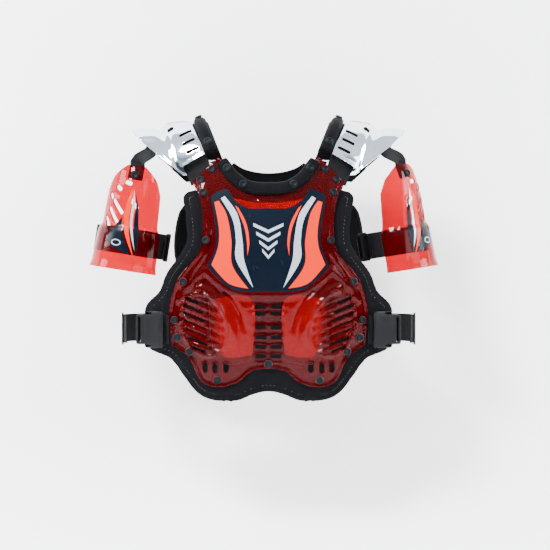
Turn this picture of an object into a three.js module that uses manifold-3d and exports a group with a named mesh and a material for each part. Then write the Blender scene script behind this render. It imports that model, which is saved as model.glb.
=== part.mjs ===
// Roost deflector: a chest protector for off-road riding, in the form that it keeps when worn.
// Millimetres, +Z up, front towards -Y. The origin lies mid between the shoulders, level with the
// underside of the shoulder pads.
import * as THREE from 'three';
import { mergeVertices } from 'three/addons/utils/BufferGeometryUtils.js';
import Module from 'manifold-3d';

const wasm = await Module();
wasm.setup();

// Driving sizes
const gap = 0.4; // air between neighbouring pieces
const torso = { halfWidth: 245, depth: 122, deepestZ: -260, fall: 51, fallSpan: 260 };
const plate = { halfWidth: 0.698 * torso.halfWidth, height: 397.5, topZ: -60.5, wall: 3 };
const liner = { wall: 6 };
const roll = { width: 22, height: 11 };
const cup = {
  originX: 0.449 * torso.halfWidth, originZ: -55, lean: 22,
  span: 108, height: 95.4, springShare: -0.18, wall: 3,
};
const cupLiner = { wall: 5.5, innerReach: 25 };
const shoulderBand = { wall: 2.2, width: 42, hem: 32, lift: 3 };
const slots = { width: 6.5, round: 2 };
const relief = { rail: 4, railWidth: 15, grille: 3 };
const arm = { length: 186, radius: 52, wrap: 75, wall: 3, topZ: -72, tilt: 9 };
const armSet = {
  left: { x: 0.939 * torso.halfWidth, yaw: 4, tuck: 1.6 },
  right: { x: 0.869 * torso.halfWidth, yaw: 40, tuck: 1.6 },
};
const armBand = { width: 46, wall: 2.4, bulge: 25, down: 0.72 };
const slider = { length: 24, height: 54, wall: 3 };
const buckle = {
  length: 54, height: 62, thick: 11, x: 1.21 * plate.halfWidth, z: -359, lift: 15, ease: 6.5, tongue: 0.34,
};
const sideStrap = { width: 50, wall: 1.8 };
const hanger = { width: 26, wall: 1.8, ease: 3.4 };
const snap = { radius: 6.8, height: 3.2, sides: 6 };
const graphic = { wall: 0.6 };

const offsetOf = {
  plate: liner.wall + gap,
  cupLiner: shoulderBand.lift + shoulderBand.wall + 2 * gap,
};
offsetOf.onPlate = offsetOf.plate + plate.wall;
offsetOf.cup = offsetOf.cupLiner + cupLiner.wall + gap;
offsetOf.onCup = offsetOf.cup + cup.wall;

const finish = {
  shell: { color: 0xd92a33, roughness: 0.16, metalness: 0 },
  foam: { color: 0x1b1b1d, roughness: 0.9, metalness: 0 },
  webbing: { color: 0x161618, roughness: 0.85, metalness: 0 },
  chrome: { color: 0xc9cdd2, roughness: 0.12, metalness: 1 },
  buckle: { color: 0x2a2b2d, roughness: 0.5, metalness: 0 },
  stud: { color: 0x4a4c50, roughness: 0.35, metalness: 0.6 },
  decal: { color: 0x1a2a44, roughness: 0.3, metalness: 0 },
};

const model = new THREE.Group();

function addPiece(name, geometry, look, parent = model) {
  const mesh = new THREE.Mesh(geometry, new THREE.MeshStandardMaterial(finish[look]));
  mesh.name = name;
  parent.add(mesh);
  return mesh;
}

// Closed bodies

function signedVolume(points, triangles) {
  let volume = 0;
  for (let i = 0; i < triangles.length; i += 3) {
    const [a, b, c] = [points[triangles[i]], points[triangles[i + 1]], points[triangles[i + 2]]];
    volume += a.dot(new THREE.Vector3().crossVectors(b, c)) / 6;
  }
  return volume;
}

function closedBody(points, triangles) {
  const outwards = signedVolume(points, triangles) < 0 ? [...triangles].reverse() : triangles;
  return new THREE.BufferGeometry().setFromPoints(points).setIndex(outwards);
}

// A wall between two surfaces, each a function of s and t from 0 to 1.
function wall(columns, rows, outerAt, innerAt) {
  const points = [];
  for (const surfaceAt of [outerAt, innerAt]) {
    for (let j = 0; j <= rows; j += 1) {
      for (let i = 0; i <= columns; i += 1) points.push(surfaceAt(i / columns, j / rows));
    }
  }
  const layerSize = (columns + 1) * (rows + 1);
  const at = (side, i, j) => side * layerSize + j * (columns + 1) + i;
  const triangles = [];
  const quad = (a, b, c, d) => triangles.push(a, b, c, a, c, d);
  for (let j = 0; j < rows; j += 1) {
    for (let i = 0; i < columns; i += 1) {
      quad(at(0, i, j), at(0, i + 1, j), at(0, i + 1, j + 1), at(0, i, j + 1));
      quad(at(1, i, j), at(1, i, j + 1), at(1, i + 1, j + 1), at(1, i + 1, j));
    }
    quad(at(0, 0, j), at(0, 0, j + 1), at(1, 0, j + 1), at(1, 0, j));
    quad(at(0, columns, j), at(1, columns, j), at(1, columns, j + 1), at(0, columns, j + 1));
  }
  for (let i = 0; i < columns; i += 1) {
    quad(at(0, i, 0), at(1, i, 0), at(1, i + 1, 0), at(0, i + 1, 0));
    quad(at(0, i, rows), at(0, i + 1, rows), at(1, i + 1, rows), at(1, i, rows));
  }
  return closedBody(points, triangles);
}

// A body through rings of points; a looped one joins its last ring to its first.
function loft(rings, looped = false) {
  const size = rings[0].length;
  const points = rings.flat();
  const triangles = [];
  const last = looped ? rings.length : rings.length - 1;
  for (let r = 0; r < last; r += 1) {
    const next = (r + 1) % rings.length;
    for (let k = 0; k < size; k += 1) {
      const [a, b] = [r * size + k, r * size + ((k + 1) % size)];
      const [c, d] = [next * size + ((k + 1) % size), next * size + k];
      triangles.push(a, b, c, a, c, d);
    }
  }
  if (!looped) {
    for (let k = 1; k < size - 1; k += 1) {
      const end = (rings.length - 1) * size;
      triangles.push(0, k + 1, k, end, end + k, end + k + 1);
    }
  }
  return closedBody(points, triangles);
}

function solidFrom(geometry) {
  const bare = new THREE.BufferGeometry();
  bare.setAttribute('position', geometry.getAttribute('position').clone());
  if (geometry.index) bare.setIndex(geometry.index.clone());
  const merged = mergeVertices(bare, 1e-4);
  return new wasm.Manifold(new wasm.Mesh({
    numProp: 3,
    vertProperties: new Float32Array(merged.getAttribute('position').array),
    triVerts: new Uint32Array(merged.index.array),
  }));
}

function geometryFrom(solid) {
  const mesh = solid.getMesh();
  const geometry = new THREE.BufferGeometry();
  geometry.setAttribute('position', new THREE.BufferAttribute(mesh.vertProperties, mesh.numProp));
  return geometry.setIndex(new THREE.BufferAttribute(mesh.triVerts, 1));
}

// Outlines and cutters

// Points run round the outline; a stretch between two corners is one smooth curve.
function smoothShape(points, steps = 2) {
  const first = points.findIndex((point) => point.corner);
  if (first < 0) {
    const curve = new THREE.CatmullRomCurve3(points.map((p) => new THREE.Vector3(p.x, p.z, 0)), true);
    const fine = curve.getPoints(points.length * steps);
    return new THREE.Shape(fine.map((p) => new THREE.Vector2(p.x, p.y)));
  }
  const ring = [...points.slice(first), ...points.slice(0, first), points[first]];
  const outline = [];
  let stretch = [];
  for (const point of ring) {
    stretch.push(new THREE.Vector2(point.x, point.z));
    if (point.corner && stretch.length > 1) {
      const count = stretch.length > 2 ? (stretch.length - 1) * steps : 1;
      outline.push(...new THREE.SplineCurve(stretch).getPoints(count).slice(0, -1));
      stretch = [stretch[stretch.length - 1]];
    }
  }
  return new THREE.Shape(outline);
}

// Rows of [across, down] shares of the chest plate, from its top centre to its bottom centre.
function chestPoints(rows) {
  return rows.map(([across, down, corner]) => ({
    x: across * plate.halfWidth,
    z: plate.topZ - down * plate.height,
    corner,
  }));
}

function mirrored(points) {
  const other = points.filter((p) => p.x > 0).map((p) => ({ ...p, x: -p.x }));
  return [...points, ...other.reverse()];
}

const reach = 2 * torso.depth;

function extruded(shape, depth) {
  const how = { depth, bevelEnabled: false, curveSegments: slots.round };
  return new THREE.ExtrudeGeometry(shape, how).rotateX(Math.PI / 2);
}

// A prism along Y over the front half (-1), the back half (1) or both (0).
function prismAlongY(shape, half) {
  const geometry = extruded(shape, half === 0 ? 2 * reach : reach);
  geometry.translate(0, half < 0 ? 0 : reach, 0);
  return solidFrom(geometry);
}

function slotShape(x, z, length, width, turn) {
  const shape = new THREE.Shape();
  const [half, radius] = [(length - width) / 2, width / 2];
  const along = new THREE.Vector2(Math.cos(turn), Math.sin(turn)).multiplyScalar(half);
  shape.absarc(x + along.x, z + along.y, radius, turn - Math.PI / 2, turn + Math.PI / 2);
  shape.absarc(x - along.x, z - along.y, radius, turn + Math.PI / 2, turn + 1.5 * Math.PI);
  shape.closePath();
  return shape;
}

function cutThrough(solid, shapes, half) {
  return shapes.reduce((rest, shape) => rest.subtract(prismAlongY(shape, half)), solid);
}

// The torso that the pieces are shaped over

function torsoDepth(z) {
  return torso.depth - torso.fall * ((z - torso.deepestZ) / torso.fallSpan) ** 2;
}

// Distance from the mid plane to a layer that lies an offset outside the torso.
function layerDepth(x, z, offset) {
  const share = Math.min(Math.abs(x) / torso.halfWidth, 0.93);
  const root = Math.sqrt(1 - share * share);
  const slope = (torsoDepth(z) * share) / (torso.halfWidth * root);
  return torsoDepth(z) * root + offset * Math.hypot(1, slope);
}

function layerPoint(x, z, offset, half) {
  return new THREE.Vector3(x, half * layerDepth(x, z, offset), z);
}

// All sheets share one field, so that the facets of neighbouring layers lie parallel.
const divisions = 10;
const field = { spanX: 1.3 * plate.halfWidth, top: plate.topZ + gap, height: 1.07 * plate.height };

// A curved sheet over the torso, cut to an outline. raiseAt adds relief to its outer face, and to its
// inner face as well where it lies over the plate.
function torsoSheet(outline, inner, thick, half, raiseAt = () => 0) {
  const steps = thick < liner.wall ? 2 : 1;
  const overRelief = inner > offsetOf.onPlate;
  const surfaceAt = (s, t, offset, raised) => {
    const [x, z] = [(2 * s - 1) * field.spanX, field.top - field.height * t];
    return layerPoint(x, z, offset + (raised ? raiseAt(x, z) : 0), half);
  };
  const sheet = solidFrom(wall(
    divisions,
    divisions,
    (s, t) => surfaceAt(s, t, inner + thick, true),
    (s, t) => surfaceAt(s, t, inner, overRelief),
  ));
  return sheet.intersect(prismAlongY(smoothShape(outline, steps), half));
}

// Depth of a sheet's facets at a place, from the corners of the cell that holds it.
function facetDepth(x, z, offsetAt) {
  const s = ((x / field.spanX + 1) / 2) * divisions;
  const t = ((field.top - z) / field.height) * divisions;
  const [i, j] = [Math.floor(s), Math.floor(t)];
  const corner = (p, q) => {
    const cornerX = (2 * ((i + p) / divisions) - 1) * field.spanX;
    const cornerZ = field.top - (field.height * (j + q)) / divisions;
    return layerDepth(cornerX, cornerZ, offsetAt(cornerX, cornerZ));
  };
  const [a, b] = [s - i, t - j];
  const turnsAt = a >= b ? corner(1, 0) : corner(0, 1);
  const [along, aside] = a >= b ? [a, b] : [b, a];
  return corner(0, 0) + along * (turnsAt - corner(0, 0)) + aside * (corner(1, 1) - turnsAt);
}

// Outlines in shares of the plate: across, down, and whether the point is a corner.
const frontNeck = [
  [0, 0.137], [0.15, 0.134], [0.254, 0.118], [0.363, 0.082], [0.435, 0.04],
  [0.485, 0.012],
];
const backNeck = [[0, 0.064], [0.15, 0.059], [0.28, 0.045], [0.36, 0.028], [0.425, 0.008]];

const plateSides = [
  [0.512, 0, true], [0.766, 0.107, true], [0.7, 0.17], [0.661, 0.235], [0.655, 0.338], [0.684, 0.409],
  [0.83, 0.487], [0.936, 0.555], [1, 0.655], [0.994, 0.733], [0.971, 0.816, true], [0.801, 0.872],
  [0.684, 0.972], [0.503, 1], [0.31, 0.977], [0.164, 0.927], [0, 0.917],
];
const linerSides = [
  [0.503, 0.006, true], [0.591, 0.021, true], [0.526, 0.107, true], [0.784, 0.152, true],
  [0.842, 0.175], [0.819, 0.248], [0.801, 0.353], [0.86, 0.416], [1.012, 0.507], [1.088, 0.585],
  [1.216, 0.64], [1.246, 0.678, true], [1.24, 0.804, true], [1.17, 0.839], [0.982, 0.872],
  [0.839, 0.952], [0.719, 1.018], [0.573, 1.05], [0.339, 1.054], [0.143, 1.023], [0, 1.011],
];
const backPlateSides = [
  [0.512, 0, true], [0.766, 0.107, true], [0.819, 0.225], [0.854, 0.351], [0.83, 0.477],
  [0.848, 0.602], [0.94, 0.678], [0.93, 0.804], [0.76, 0.879], [0.468, 0.917], [0, 0.917],
];
const backLinerSides = [
  [0.503, 0.006, true], [0.591, 0.021, true], [0.526, 0.107, true], [0.784, 0.152, true],
  [0.848, 0.17], [0.953, 0.225], [1.003, 0.336], [1, 0.424], [0.962, 0.487], [0.96, 0.577],
  [1.111, 0.665, true], [1.123, 0.816, true], [0.965, 0.879], [0.702, 0.955], [0.351, 0.98],
  [0, 0.98],
];
const upperWindow = [
  [0, 0.172], [0.234, 0.165], [0.4, 0.152], [0.52, 0.17], [0.538, 0.3], [0.585, 0.414],
  [0.6, 0.477], [0.41, 0.552], [0, 0.562],
];
const lowerWindow = [
  [0.164, 0.618], [0.556, 0.618], [0.59, 0.678], [0.567, 0.804], [0.491, 0.892], [0.263, 0.892],
  [0.164, 0.854],
];
const graphicSides = [
  [0, 0.224], [0.193, 0.224], [0.333, 0.19], [0.421, 0.14], [0.556, 0.16, true],
  [0.585, 0.17, true], [0.526, 0.311], [0.532, 0.391], [0.614, 0.472, true], [0.409, 0.562],
  [0.24, 0.582], [0, 0.582],
];

// Grille: a leaning oval dome on both sides, with seven slots through its outer half.
const grille = {
  across: 0.649, down: 0.728, halfWidth: 0.228, halfHeight: 0.135,
  slotAcross: 0.735, slotLength: 0.59, lean: 0.12, count: 7, slope: 22, pitch: 0.0355,
};

function grilleSlots(side) {
  return Array.from({ length: grille.count }, (_, i) => {
    const step = i - (grille.count - 1) / 2;
    const share = (step * grille.pitch) / grille.halfHeight;
    const chord = 2 * grille.halfWidth * plate.halfWidth * Math.sqrt(1 - share * share);
    const length = chord * grille.slotLength;
    const shift = step * grille.lean * grille.pitch * plate.height;
    const x = side * (grille.slotAcross * plate.halfWidth - shift);
    const z = plate.topZ - (grille.down + step * grille.pitch) * plate.height;
    return slotShape(x, z, length, slots.width, side * THREE.MathUtils.degToRad(grille.slope));
  });
}

// Centre slots and lower ovals: across, down, length, width and whether they stand upright.
const smallSlots = [
  [0.094, 0.648, 24, 6], [0.094, 0.678, 24, 6], [0.08, 0.736, 21, 7], [0.08, 0.779, 21, 7],
  [0.08, 0.821, 21, 7], [0.08, 0.863, 21, 7], [0.427, 0.914, 17, 9, true],
  [0.538, 0.916, 17, 9, true], [0.637, 0.914, 17, 9, true],
];

function plateSlots() {
  return [-1, 1].flatMap((side) => [
    ...grilleSlots(side),
    ...smallSlots.map(([across, down, length, width, upright]) => slotShape(
      side * across * plate.halfWidth,
      plate.topZ - down * plate.height,
      length,
      width,
      upright ? Math.PI / 2 : 0,
    )),
  ]);
}

// Height of the moulded relief over the plate: two side rails and the grille domes.
const railRows = [[0.69, 0.147], [0.64, 0.34], [0.68, 0.42], [0.86, 0.54]];
const railPath = new THREE.SplineCurve(railRows.map((row) => new THREE.Vector2(...row)));

function smoothStep(from, to, value) {
  return THREE.MathUtils.smoothstep(value, from, to);
}

function plateRelief(x, z) {
  const here = new THREE.Vector2(Math.abs(x) / plate.halfWidth, (plate.topZ - z) / plate.height);
  const [railTop, railEnd] = [railRows[0][1], railRows[railRows.length - 1][1]];
  const along = THREE.MathUtils.clamp((here.y - railTop) / (railEnd - railTop), 0, 1);
  const onRail = railPath.getPoint(along);
  const aside = Math.abs(here.x - onRail.x) * plate.halfWidth;
  const ends = smoothStep(0.1, 0.17, here.y) * (1 - smoothStep(0.54, 0.6, here.y));
  const rail = relief.rail * ends * (1 - smoothStep(0.4, 1, aside / relief.railWidth));
  const round = Math.hypot(
    (here.x - grille.across) / grille.halfWidth,
    (here.y - grille.down) / grille.halfHeight,
  );
  const dome = relief.grille * (1 - smoothStep(0.6, 1.1, round));
  return rail + dome;
}

// Both liners are frames: an upper window and two lower ones, with a strip between them.
function linerWindows() {
  const lower = chestPoints(lowerWindow);
  return [
    smoothShape(mirrored(chestPoints(upperWindow)), 1),
    ...[-1, 1].map((side) => smoothShape(lower.map((p) => ({ ...p, x: side * p.x })), 1)),
  ];
}

function addSheet(name, look, rows, inner, thick, half, { cuts = [], raiseAt } = {}) {
  const sheet = torsoSheet(mirrored(chestPoints(rows)), inner, thick, half, raiseAt);
  addPiece(name, geometryFrom(cutThrough(sheet, cuts, half)), look);
}

function chestSheets() {
  const front = [...frontNeck, ...plateSides];
  const moulded = { cuts: plateSlots(), raiseAt: plateRelief };
  addSheet('chest_plate', 'shell', front, offsetOf.plate, plate.wall, -1, moulded);
  const framed = { cuts: linerWindows() };
  addSheet('chest_liner', 'foam', [...frontNeck, ...linerSides], 0, liner.wall, -1, framed);
  const onPlate = offsetOf.onPlate + gap;
  addSheet('chest_graphic', 'decal', graphicSides, onPlate, graphic.wall, -1, { raiseAt: plateRelief });

  const back = [...backNeckEdge(), ...backPlateSides];
  addSheet('back_plate', 'shell', back, offsetOf.plate, plate.wall, 1);
  addSheet('back_liner', 'foam', [...backNeckEdge(), ...backLinerSides], 0, liner.wall, 1, framed);
}

// The back sheets stop under the back collar roll.
function backNeckEdge() {
  const drop = (roll.width / 2 + 2 * gap) / plate.height;
  return backNeck.map(([across, down]) => [across, down + drop * 1.26]);
}

// Padded rolls

// A flat-backed padded section, as [across, out] shares of its width and height.
const padSection = [
  [-0.47, 0], [-0.5, 0.4], [-0.3, 0.88], [0, 1], [0.3, 0.88], [0.5, 0.4], [0.47, 0],
];

// Pad rings along a route; pointAt(along, across, out) places each point of a ring.
function padRings(count, pointAt) {
  return Array.from({ length: count + 1 }, (_, i) => {
    const [narrow, low] = i === 0 || i === count ? [0.55, 0.6] : [1, 1];
    return padSection.map(([across, out]) => pointAt(i / count, across * narrow, out * low));
  });
}

function collarRoll(name, neck, half, base, height) {
  const side = chestPoints(neck).map((p) => new THREE.Vector2(p.x, p.z));
  const otherSide = side.slice(1).reverse().map((p) => new THREE.Vector2(-p.x, p.y));
  const route = new THREE.SplineCurve([...otherSide, ...side]);
  const rings = padRings(12, (along, across, out) => {
    const centre = route.getPoint(along);
    const tangent = route.getTangent(along);
    const x = centre.x - tangent.y * across * roll.width;
    const z = centre.y + tangent.x * across * roll.width;
    return layerPoint(x, z, base + out * height, half);
  });
  addPiece(name, loft(rings), 'foam');
}

// Shoulder pieces

const lean = THREE.MathUtils.degToRad(cup.lean);
const springW = cup.springShare * cup.height;
// Crest line of the cup: share of its span, share of its height.
const crestRows = [
  [-0.25, 0.67], [0, 0.713], [0.046, 0.786], [0.25, 0.86], [0.435, 0.896], [0.556, 0.845],
  [0.722, 0.922], [0.861, 0.985], [1.02, 1.01],
];
const crestCurve = new THREE.SplineCurve(crestRows.map(([u, w]) => new THREE.Vector2(u, w)));

function rowValue(rows, at) {
  const next = rows.findIndex((row) => row[0] >= at);
  if (next <= 0) return rows[next < 0 ? rows.length - 1 : 0][1];
  const [low, high] = [rows[next - 1], rows[next]];
  return low[1] + ((high[1] - low[1]) * (at - low[0])) / (high[0] - low[0]);
}

const crestTable = crestCurve.getPoints(40).map((p) => [p.x, p.y]);

function crestHeight(u) {
  return rowValue(crestTable, u / cup.span) * cup.height;
}

// Cup frame: u runs outwards along the shoulder, w runs up.
function cupPlace(side, u, w) {
  return {
    x: side * (cup.originX + u * Math.cos(lean) + w * Math.sin(lean)),
    z: cup.originZ - u * Math.sin(lean) + w * Math.cos(lean),
  };
}

// Point over the shoulder: angle 0 is the crest, 90 degrees the front spring line.
function shoulderPoint(side, u, angle, offset) {
  const height = crestHeight(u) - offsetOf.onCup - springW;
  const spring = cupPlace(side, u, springW);
  const half = layerDepth(spring.x, spring.z, 0);
  const over = Math.min(Math.abs(angle), Math.PI / 2);
  const below = (Math.abs(angle) - over) * height;
  const { x, z } = cupPlace(side, u, springW + (height + offset) * Math.cos(over) - below);
  const depth = below > 0 ? layerDepth(x, z, 0) + offset : (half + offset) * Math.sin(over);
  return new THREE.Vector3(x, -Math.sign(angle) * depth, z);
}

// Layers over the shoulder share these lines, so that their facets lie parallel.
const shoulderLines = { across: shoulderBand.width / 2, turn: THREE.MathUtils.degToRad(18) };

function linesBetween(from, to, step) {
  const inside = [];
  for (let n = Math.ceil(from / step + 0.05); n * step < to - 0.05 * step; n += 1) inside.push(n * step);
  return [from, ...inside, to];
}

function shoulderWall(side, uFrom, uTo, angle, inner, thick) {
  const across = linesBetween(uFrom, uTo, shoulderLines.across);
  const turns = linesBetween(-angle, angle, shoulderLines.turn);
  const place = (s, t) => [
    side, across[Math.round(s * (across.length - 1))], turns[Math.round(t * (turns.length - 1))],
  ];
  return wall(
    across.length - 1,
    turns.length - 1,
    (s, t) => shoulderPoint(...place(s, t), inner + thick),
    (s, t) => shoulderPoint(...place(s, t), inner),
  );
}

// Outline of the cup seen from the front, in shares of its span and height.
const cupOutline = [
  [0, 0, true], [0, 1.3, true], [1.01, 1.3, true], [1, 1, true], [0.963, 0.891], [0.861, 0.618],
  [0.731, 0.351], [0.56, 0], [0.472, -0.184, true], [0.389, -0.241, true], [0.398, -0.066, true],
];
const foamOutline = [
  [-0.23, -0.05, true], [-0.23, 1.3, true], [1.01, 1.3, true], [0.9, 0.98, true], [0.8, 0.86],
  [0.68, 0.6], [0.56, 0.36, true], [0.63, 0.12, true], [0.58, 0.01], [0.487, -0.2, true],
  [0.39, -0.225, true], [0.37, -0.02, true], [0, 0.04, true],
];
const cupSlots = [[0.156, 0.151], [0.169, 0.326], [0.172, 0.497]];

function cupShape(side, rows) {
  const place = ([u, w, corner]) => ({ ...cupPlace(side, u * cup.span, w * cup.height), corner });
  return smoothShape(rows.map(place), 1);
}

function shoulderPieces(name, side) {
  const steep = THREE.MathUtils.degToRad(100);
  const shell = solidFrom(shoulderWall(side, 0, cup.span, steep, offsetOf.cup, cup.wall));
  const cutters = cupSlots.map(([u, w]) => {
    const { x, z } = cupPlace(side, u * cup.span, w * cup.height);
    return slotShape(x, z, 24, 5, -side * (lean + 0.08));
  });
  const hole = cupPlace(side, 0.38 * cup.span, 0.694 * cup.height);
  cutters.push(slotShape(hole.x, hole.z, 13, 8, -side * lean));
  const trimmed = shell.intersect(prismAlongY(cupShape(side, cupOutline), 0));
  addPiece(`${name}_shoulder_cup`, geometryFrom(cutThrough(trimmed, cutters, -1)), 'chrome');

  const foam = solidFrom(
    shoulderWall(side, -cupLiner.innerReach, cup.span, steep, offsetOf.cupLiner, cupLiner.wall),
  );
  addPiece(
    `${name}_cup_liner`,
    geometryFrom(foam.intersect(prismAlongY(cupShape(side, foamOutline), 0))),
    'foam',
  );

  const bandAngle = Math.PI / 2 + shoulderBand.hem / (cup.height - springW);
  addPiece(
    `${name}_shoulder_band`,
    shoulderWall(side, 0, shoulderBand.width, bandAngle, shoulderBand.lift, shoulderBand.wall),
    'webbing',
  );

  const rollAngle = THREE.MathUtils.degToRad(78);
  const base = offsetOf.cupLiner + cupLiner.wall + 3 * gap;
  const rings = padRings(10, (along, across, out) => shoulderPoint(
    side,
    -roll.width / 2 - 1.5 * gap - 1 + across * roll.width,
    (2 * along - 1) * rollAngle,
    base + out * roll.height,
  ));
  addPiece(`${name}_cup_roll`, loft(rings), 'foam');
}

// Arm guards

// Rows down the guard: share of its length, share of the wrap, share of the radius.
const guardWrap = [[0, 0.3], [0.05, 0.5], [0.12, 0.72], [0.25, 0.9], [0.5, 0.96], [0.62, 1], [1, 0.95]];
const guardRadius = [
  [0, 0.8], [0.08, 0.9], [0.25, 0.98], [0.5, 1], [0.58, 1.02], [0.66, 1.12], [1, 1.2],
];
// Cuts in the guard: angle, share down, length, width and turn.
const guardCuts = [
  [-10, 0.17, 14, 7, 10], [-29, 0.23, 14, 7, 30], [-45, 0.315, 14, 7, 50], [-25, 0.405, 34, 6.5, 45],
  [-33, 0.49, 36, 6.5, 47], [-42, 0.575, 34, 6.5, 50], [8, 0.36, 24, 6, 45],
];

function guardPoint(side, angle, down, offset) {
  const radius = arm.radius * rowValue(guardRadius, down) + offset;
  return new THREE.Vector3(side * radius * -Math.sin(angle), -radius * Math.cos(angle), -down * arm.length);
}

function guardShell(side) {
  const wrap = THREE.MathUtils.degToRad(arm.wrap);
  const place = (s, t) => [side, (2 * s - 1) * wrap * rowValue(guardWrap, t), t];
  const shell = solidFrom(wall(
    6,
    8,
    (s, t) => guardPoint(...place(s, t), 0),
    (s, t) => guardPoint(...place(s, t), -arm.wall),
  ));
  return guardCuts.reduce((rest, [angle, down, length, width, turn]) => {
    const shape = slotShape(0, -down * arm.length, length, width, side * THREE.MathUtils.degToRad(turn));
    const geometry = extruded(shape, 2 * arm.radius);
    geometry.rotateZ(-side * THREE.MathUtils.degToRad(angle));
    return rest.subtract(solidFrom(geometry));
  }, shell);
}

// The elastic band runs inside the shell and bulges out behind its edges.
function armBandRadius(angle) {
  const inside = arm.radius * rowValue(guardRadius, armBand.down - 0.14) - arm.wall - armBand.wall;
  const clear = THREE.MathUtils.degToRad(arm.wrap + 4);
  const out = smoothStep(clear, clear + 0.75, Math.abs(angle));
  const behind = smoothStep(clear + 0.6, Math.PI, Math.abs(angle));
  return inside + armBand.bulge * out - (armBand.bulge - 4) * behind;
}

function armBandPoint(angle, rise, offset) {
  const radius = armBandRadius(angle) + offset;
  const z = -armBand.down * arm.length + rise * armBand.width;
  return new THREE.Vector3(-radius * Math.sin(angle), -radius * Math.cos(angle), z);
}

function armBandRings() {
  const count = 20;
  return Array.from({ length: count }, (_, i) => {
    const angle = ((i / count) * 2 - 1) * Math.PI;
    return [
      armBandPoint(angle, 0.5, 0), armBandPoint(angle, 0.5, armBand.wall),
      armBandPoint(angle, -0.5, armBand.wall), armBandPoint(angle, -0.5, 0),
    ];
  });
}

function armPieces(name, side) {
  const group = new THREE.Group();
  group.position.set(side * armSet[name].x, 0, arm.topZ);
  group.rotation.order = 'YZX';
  group.rotation.y = -side * THREE.MathUtils.degToRad(arm.tilt);
  group.rotation.z = side * THREE.MathUtils.degToRad(armSet[name].yaw);
  model.add(group);
  addPiece(`${name}_arm_guard`, geometryFrom(guardShell(side)), 'shell', group);
  addPiece(`${name}_arm_band`, loft(armBandRings(), true), 'webbing', group);

  const at = side * THREE.MathUtils.degToRad(arm.wrap + 33);
  const halfAngle = slider.length / 2 / armBandRadius(at);
  const sliderAt = (s, t, offset) => armBandPoint(
    at + (2 * s - 1) * halfAngle,
    ((0.5 - t) * slider.height) / armBand.width,
    armBand.wall + gap + offset,
  );
  addPiece(
    `${name}_arm_slider`,
    wall(4, 1, (s, t) => sliderAt(s, t, slider.wall), (s, t) => sliderAt(s, t, 0)),
    'buckle',
    group,
  );
  return group;
}

// Flat straps along a route of places, each with its outward direction.
function ribbon(route, width, thick) {
  const rings = route.map(({ place, out }, i) => {
    const before = route[Math.max(i - 1, 0)].place;
    const after = route[Math.min(i + 1, route.length - 1)].place;
    const along = new THREE.Vector3().subVectors(after, before).normalize();
    const across = new THREE.Vector3().crossVectors(along, out).normalize().multiplyScalar(width / 2);
    const face = new THREE.Vector3().crossVectors(across, along).normalize().multiplyScalar(thick / 2);
    return [[-1, -1], [1, -1], [1, 1], [-1, 1]].map(
      ([a, f]) => place.clone().addScaledVector(across, a).addScaledVector(face, f),
    );
  });
  return loft(rings);
}

// The hanger leaves the underside of the cup and lies inside the head of the arm guard.
function hangerPiece(name, side, group) {
  group.updateMatrixWorld(true);
  const onGuard = (down) => guardPoint(side, 0, down, -arm.wall - gap - hanger.wall / 2 - hanger.ease)
    .applyMatrix4(group.matrixWorld);
  const under = (u, degrees) => shoulderPoint(
    side,
    u * cup.span,
    THREE.MathUtils.degToRad(degrees),
    offsetOf.cup - hanger.wall - armSet[name].tuck,
  );
  const places = [under(0.74, 46), under(0.8, 54), onGuard(-0.06), onGuard(0), onGuard(0.13)];
  const fromCup = new THREE.Vector3(side * 0.3, -1, 0.45);
  const fromGuard = new THREE.Vector3(0, -1, 0.1).transformDirection(group.matrixWorld);
  const curve = new THREE.CatmullRomCurve3(places);
  const count = 8;
  const route = curve.getPoints(count).map((place, i) => ({
    place,
    out: fromCup.clone().lerp(fromGuard, Math.min(1, (1.4 * i) / count)),
  }));
  addPiece(`${name}_arm_hanger`, ribbon(route, hanger.width, hanger.wall), 'webbing');
}

// Waist buckles and straps

function boxShape(x0, x1, z0, z1, radius) {
  const shape = new THREE.Shape();
  shape.absarc(x1 - radius, z1 - radius, radius, 0, Math.PI / 2);
  shape.absarc(x0 + radius, z1 - radius, radius, Math.PI / 2, Math.PI);
  shape.absarc(x0 + radius, z0 + radius, radius, Math.PI, 1.5 * Math.PI);
  shape.absarc(x1 - radius, z0 + radius, radius, 1.5 * Math.PI, 2 * Math.PI);
  shape.closePath();
  return shape;
}

function plateOf(shape, thick) {
  return extruded(shape, thick).translate(0, thick / 2, 0);
}

// The buckle stands off the torso and turns with it, eased a little towards the front.
function buckleYaw() {
  const depthAt = (x) => layerDepth(x, buckle.z, 0);
  const fall = depthAt(buckle.x - buckle.lift) - depthAt(buckle.x + buckle.lift);
  return Math.atan(fall / (2 * buckle.lift)) - THREE.MathUtils.degToRad(buckle.ease);
}

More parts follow.
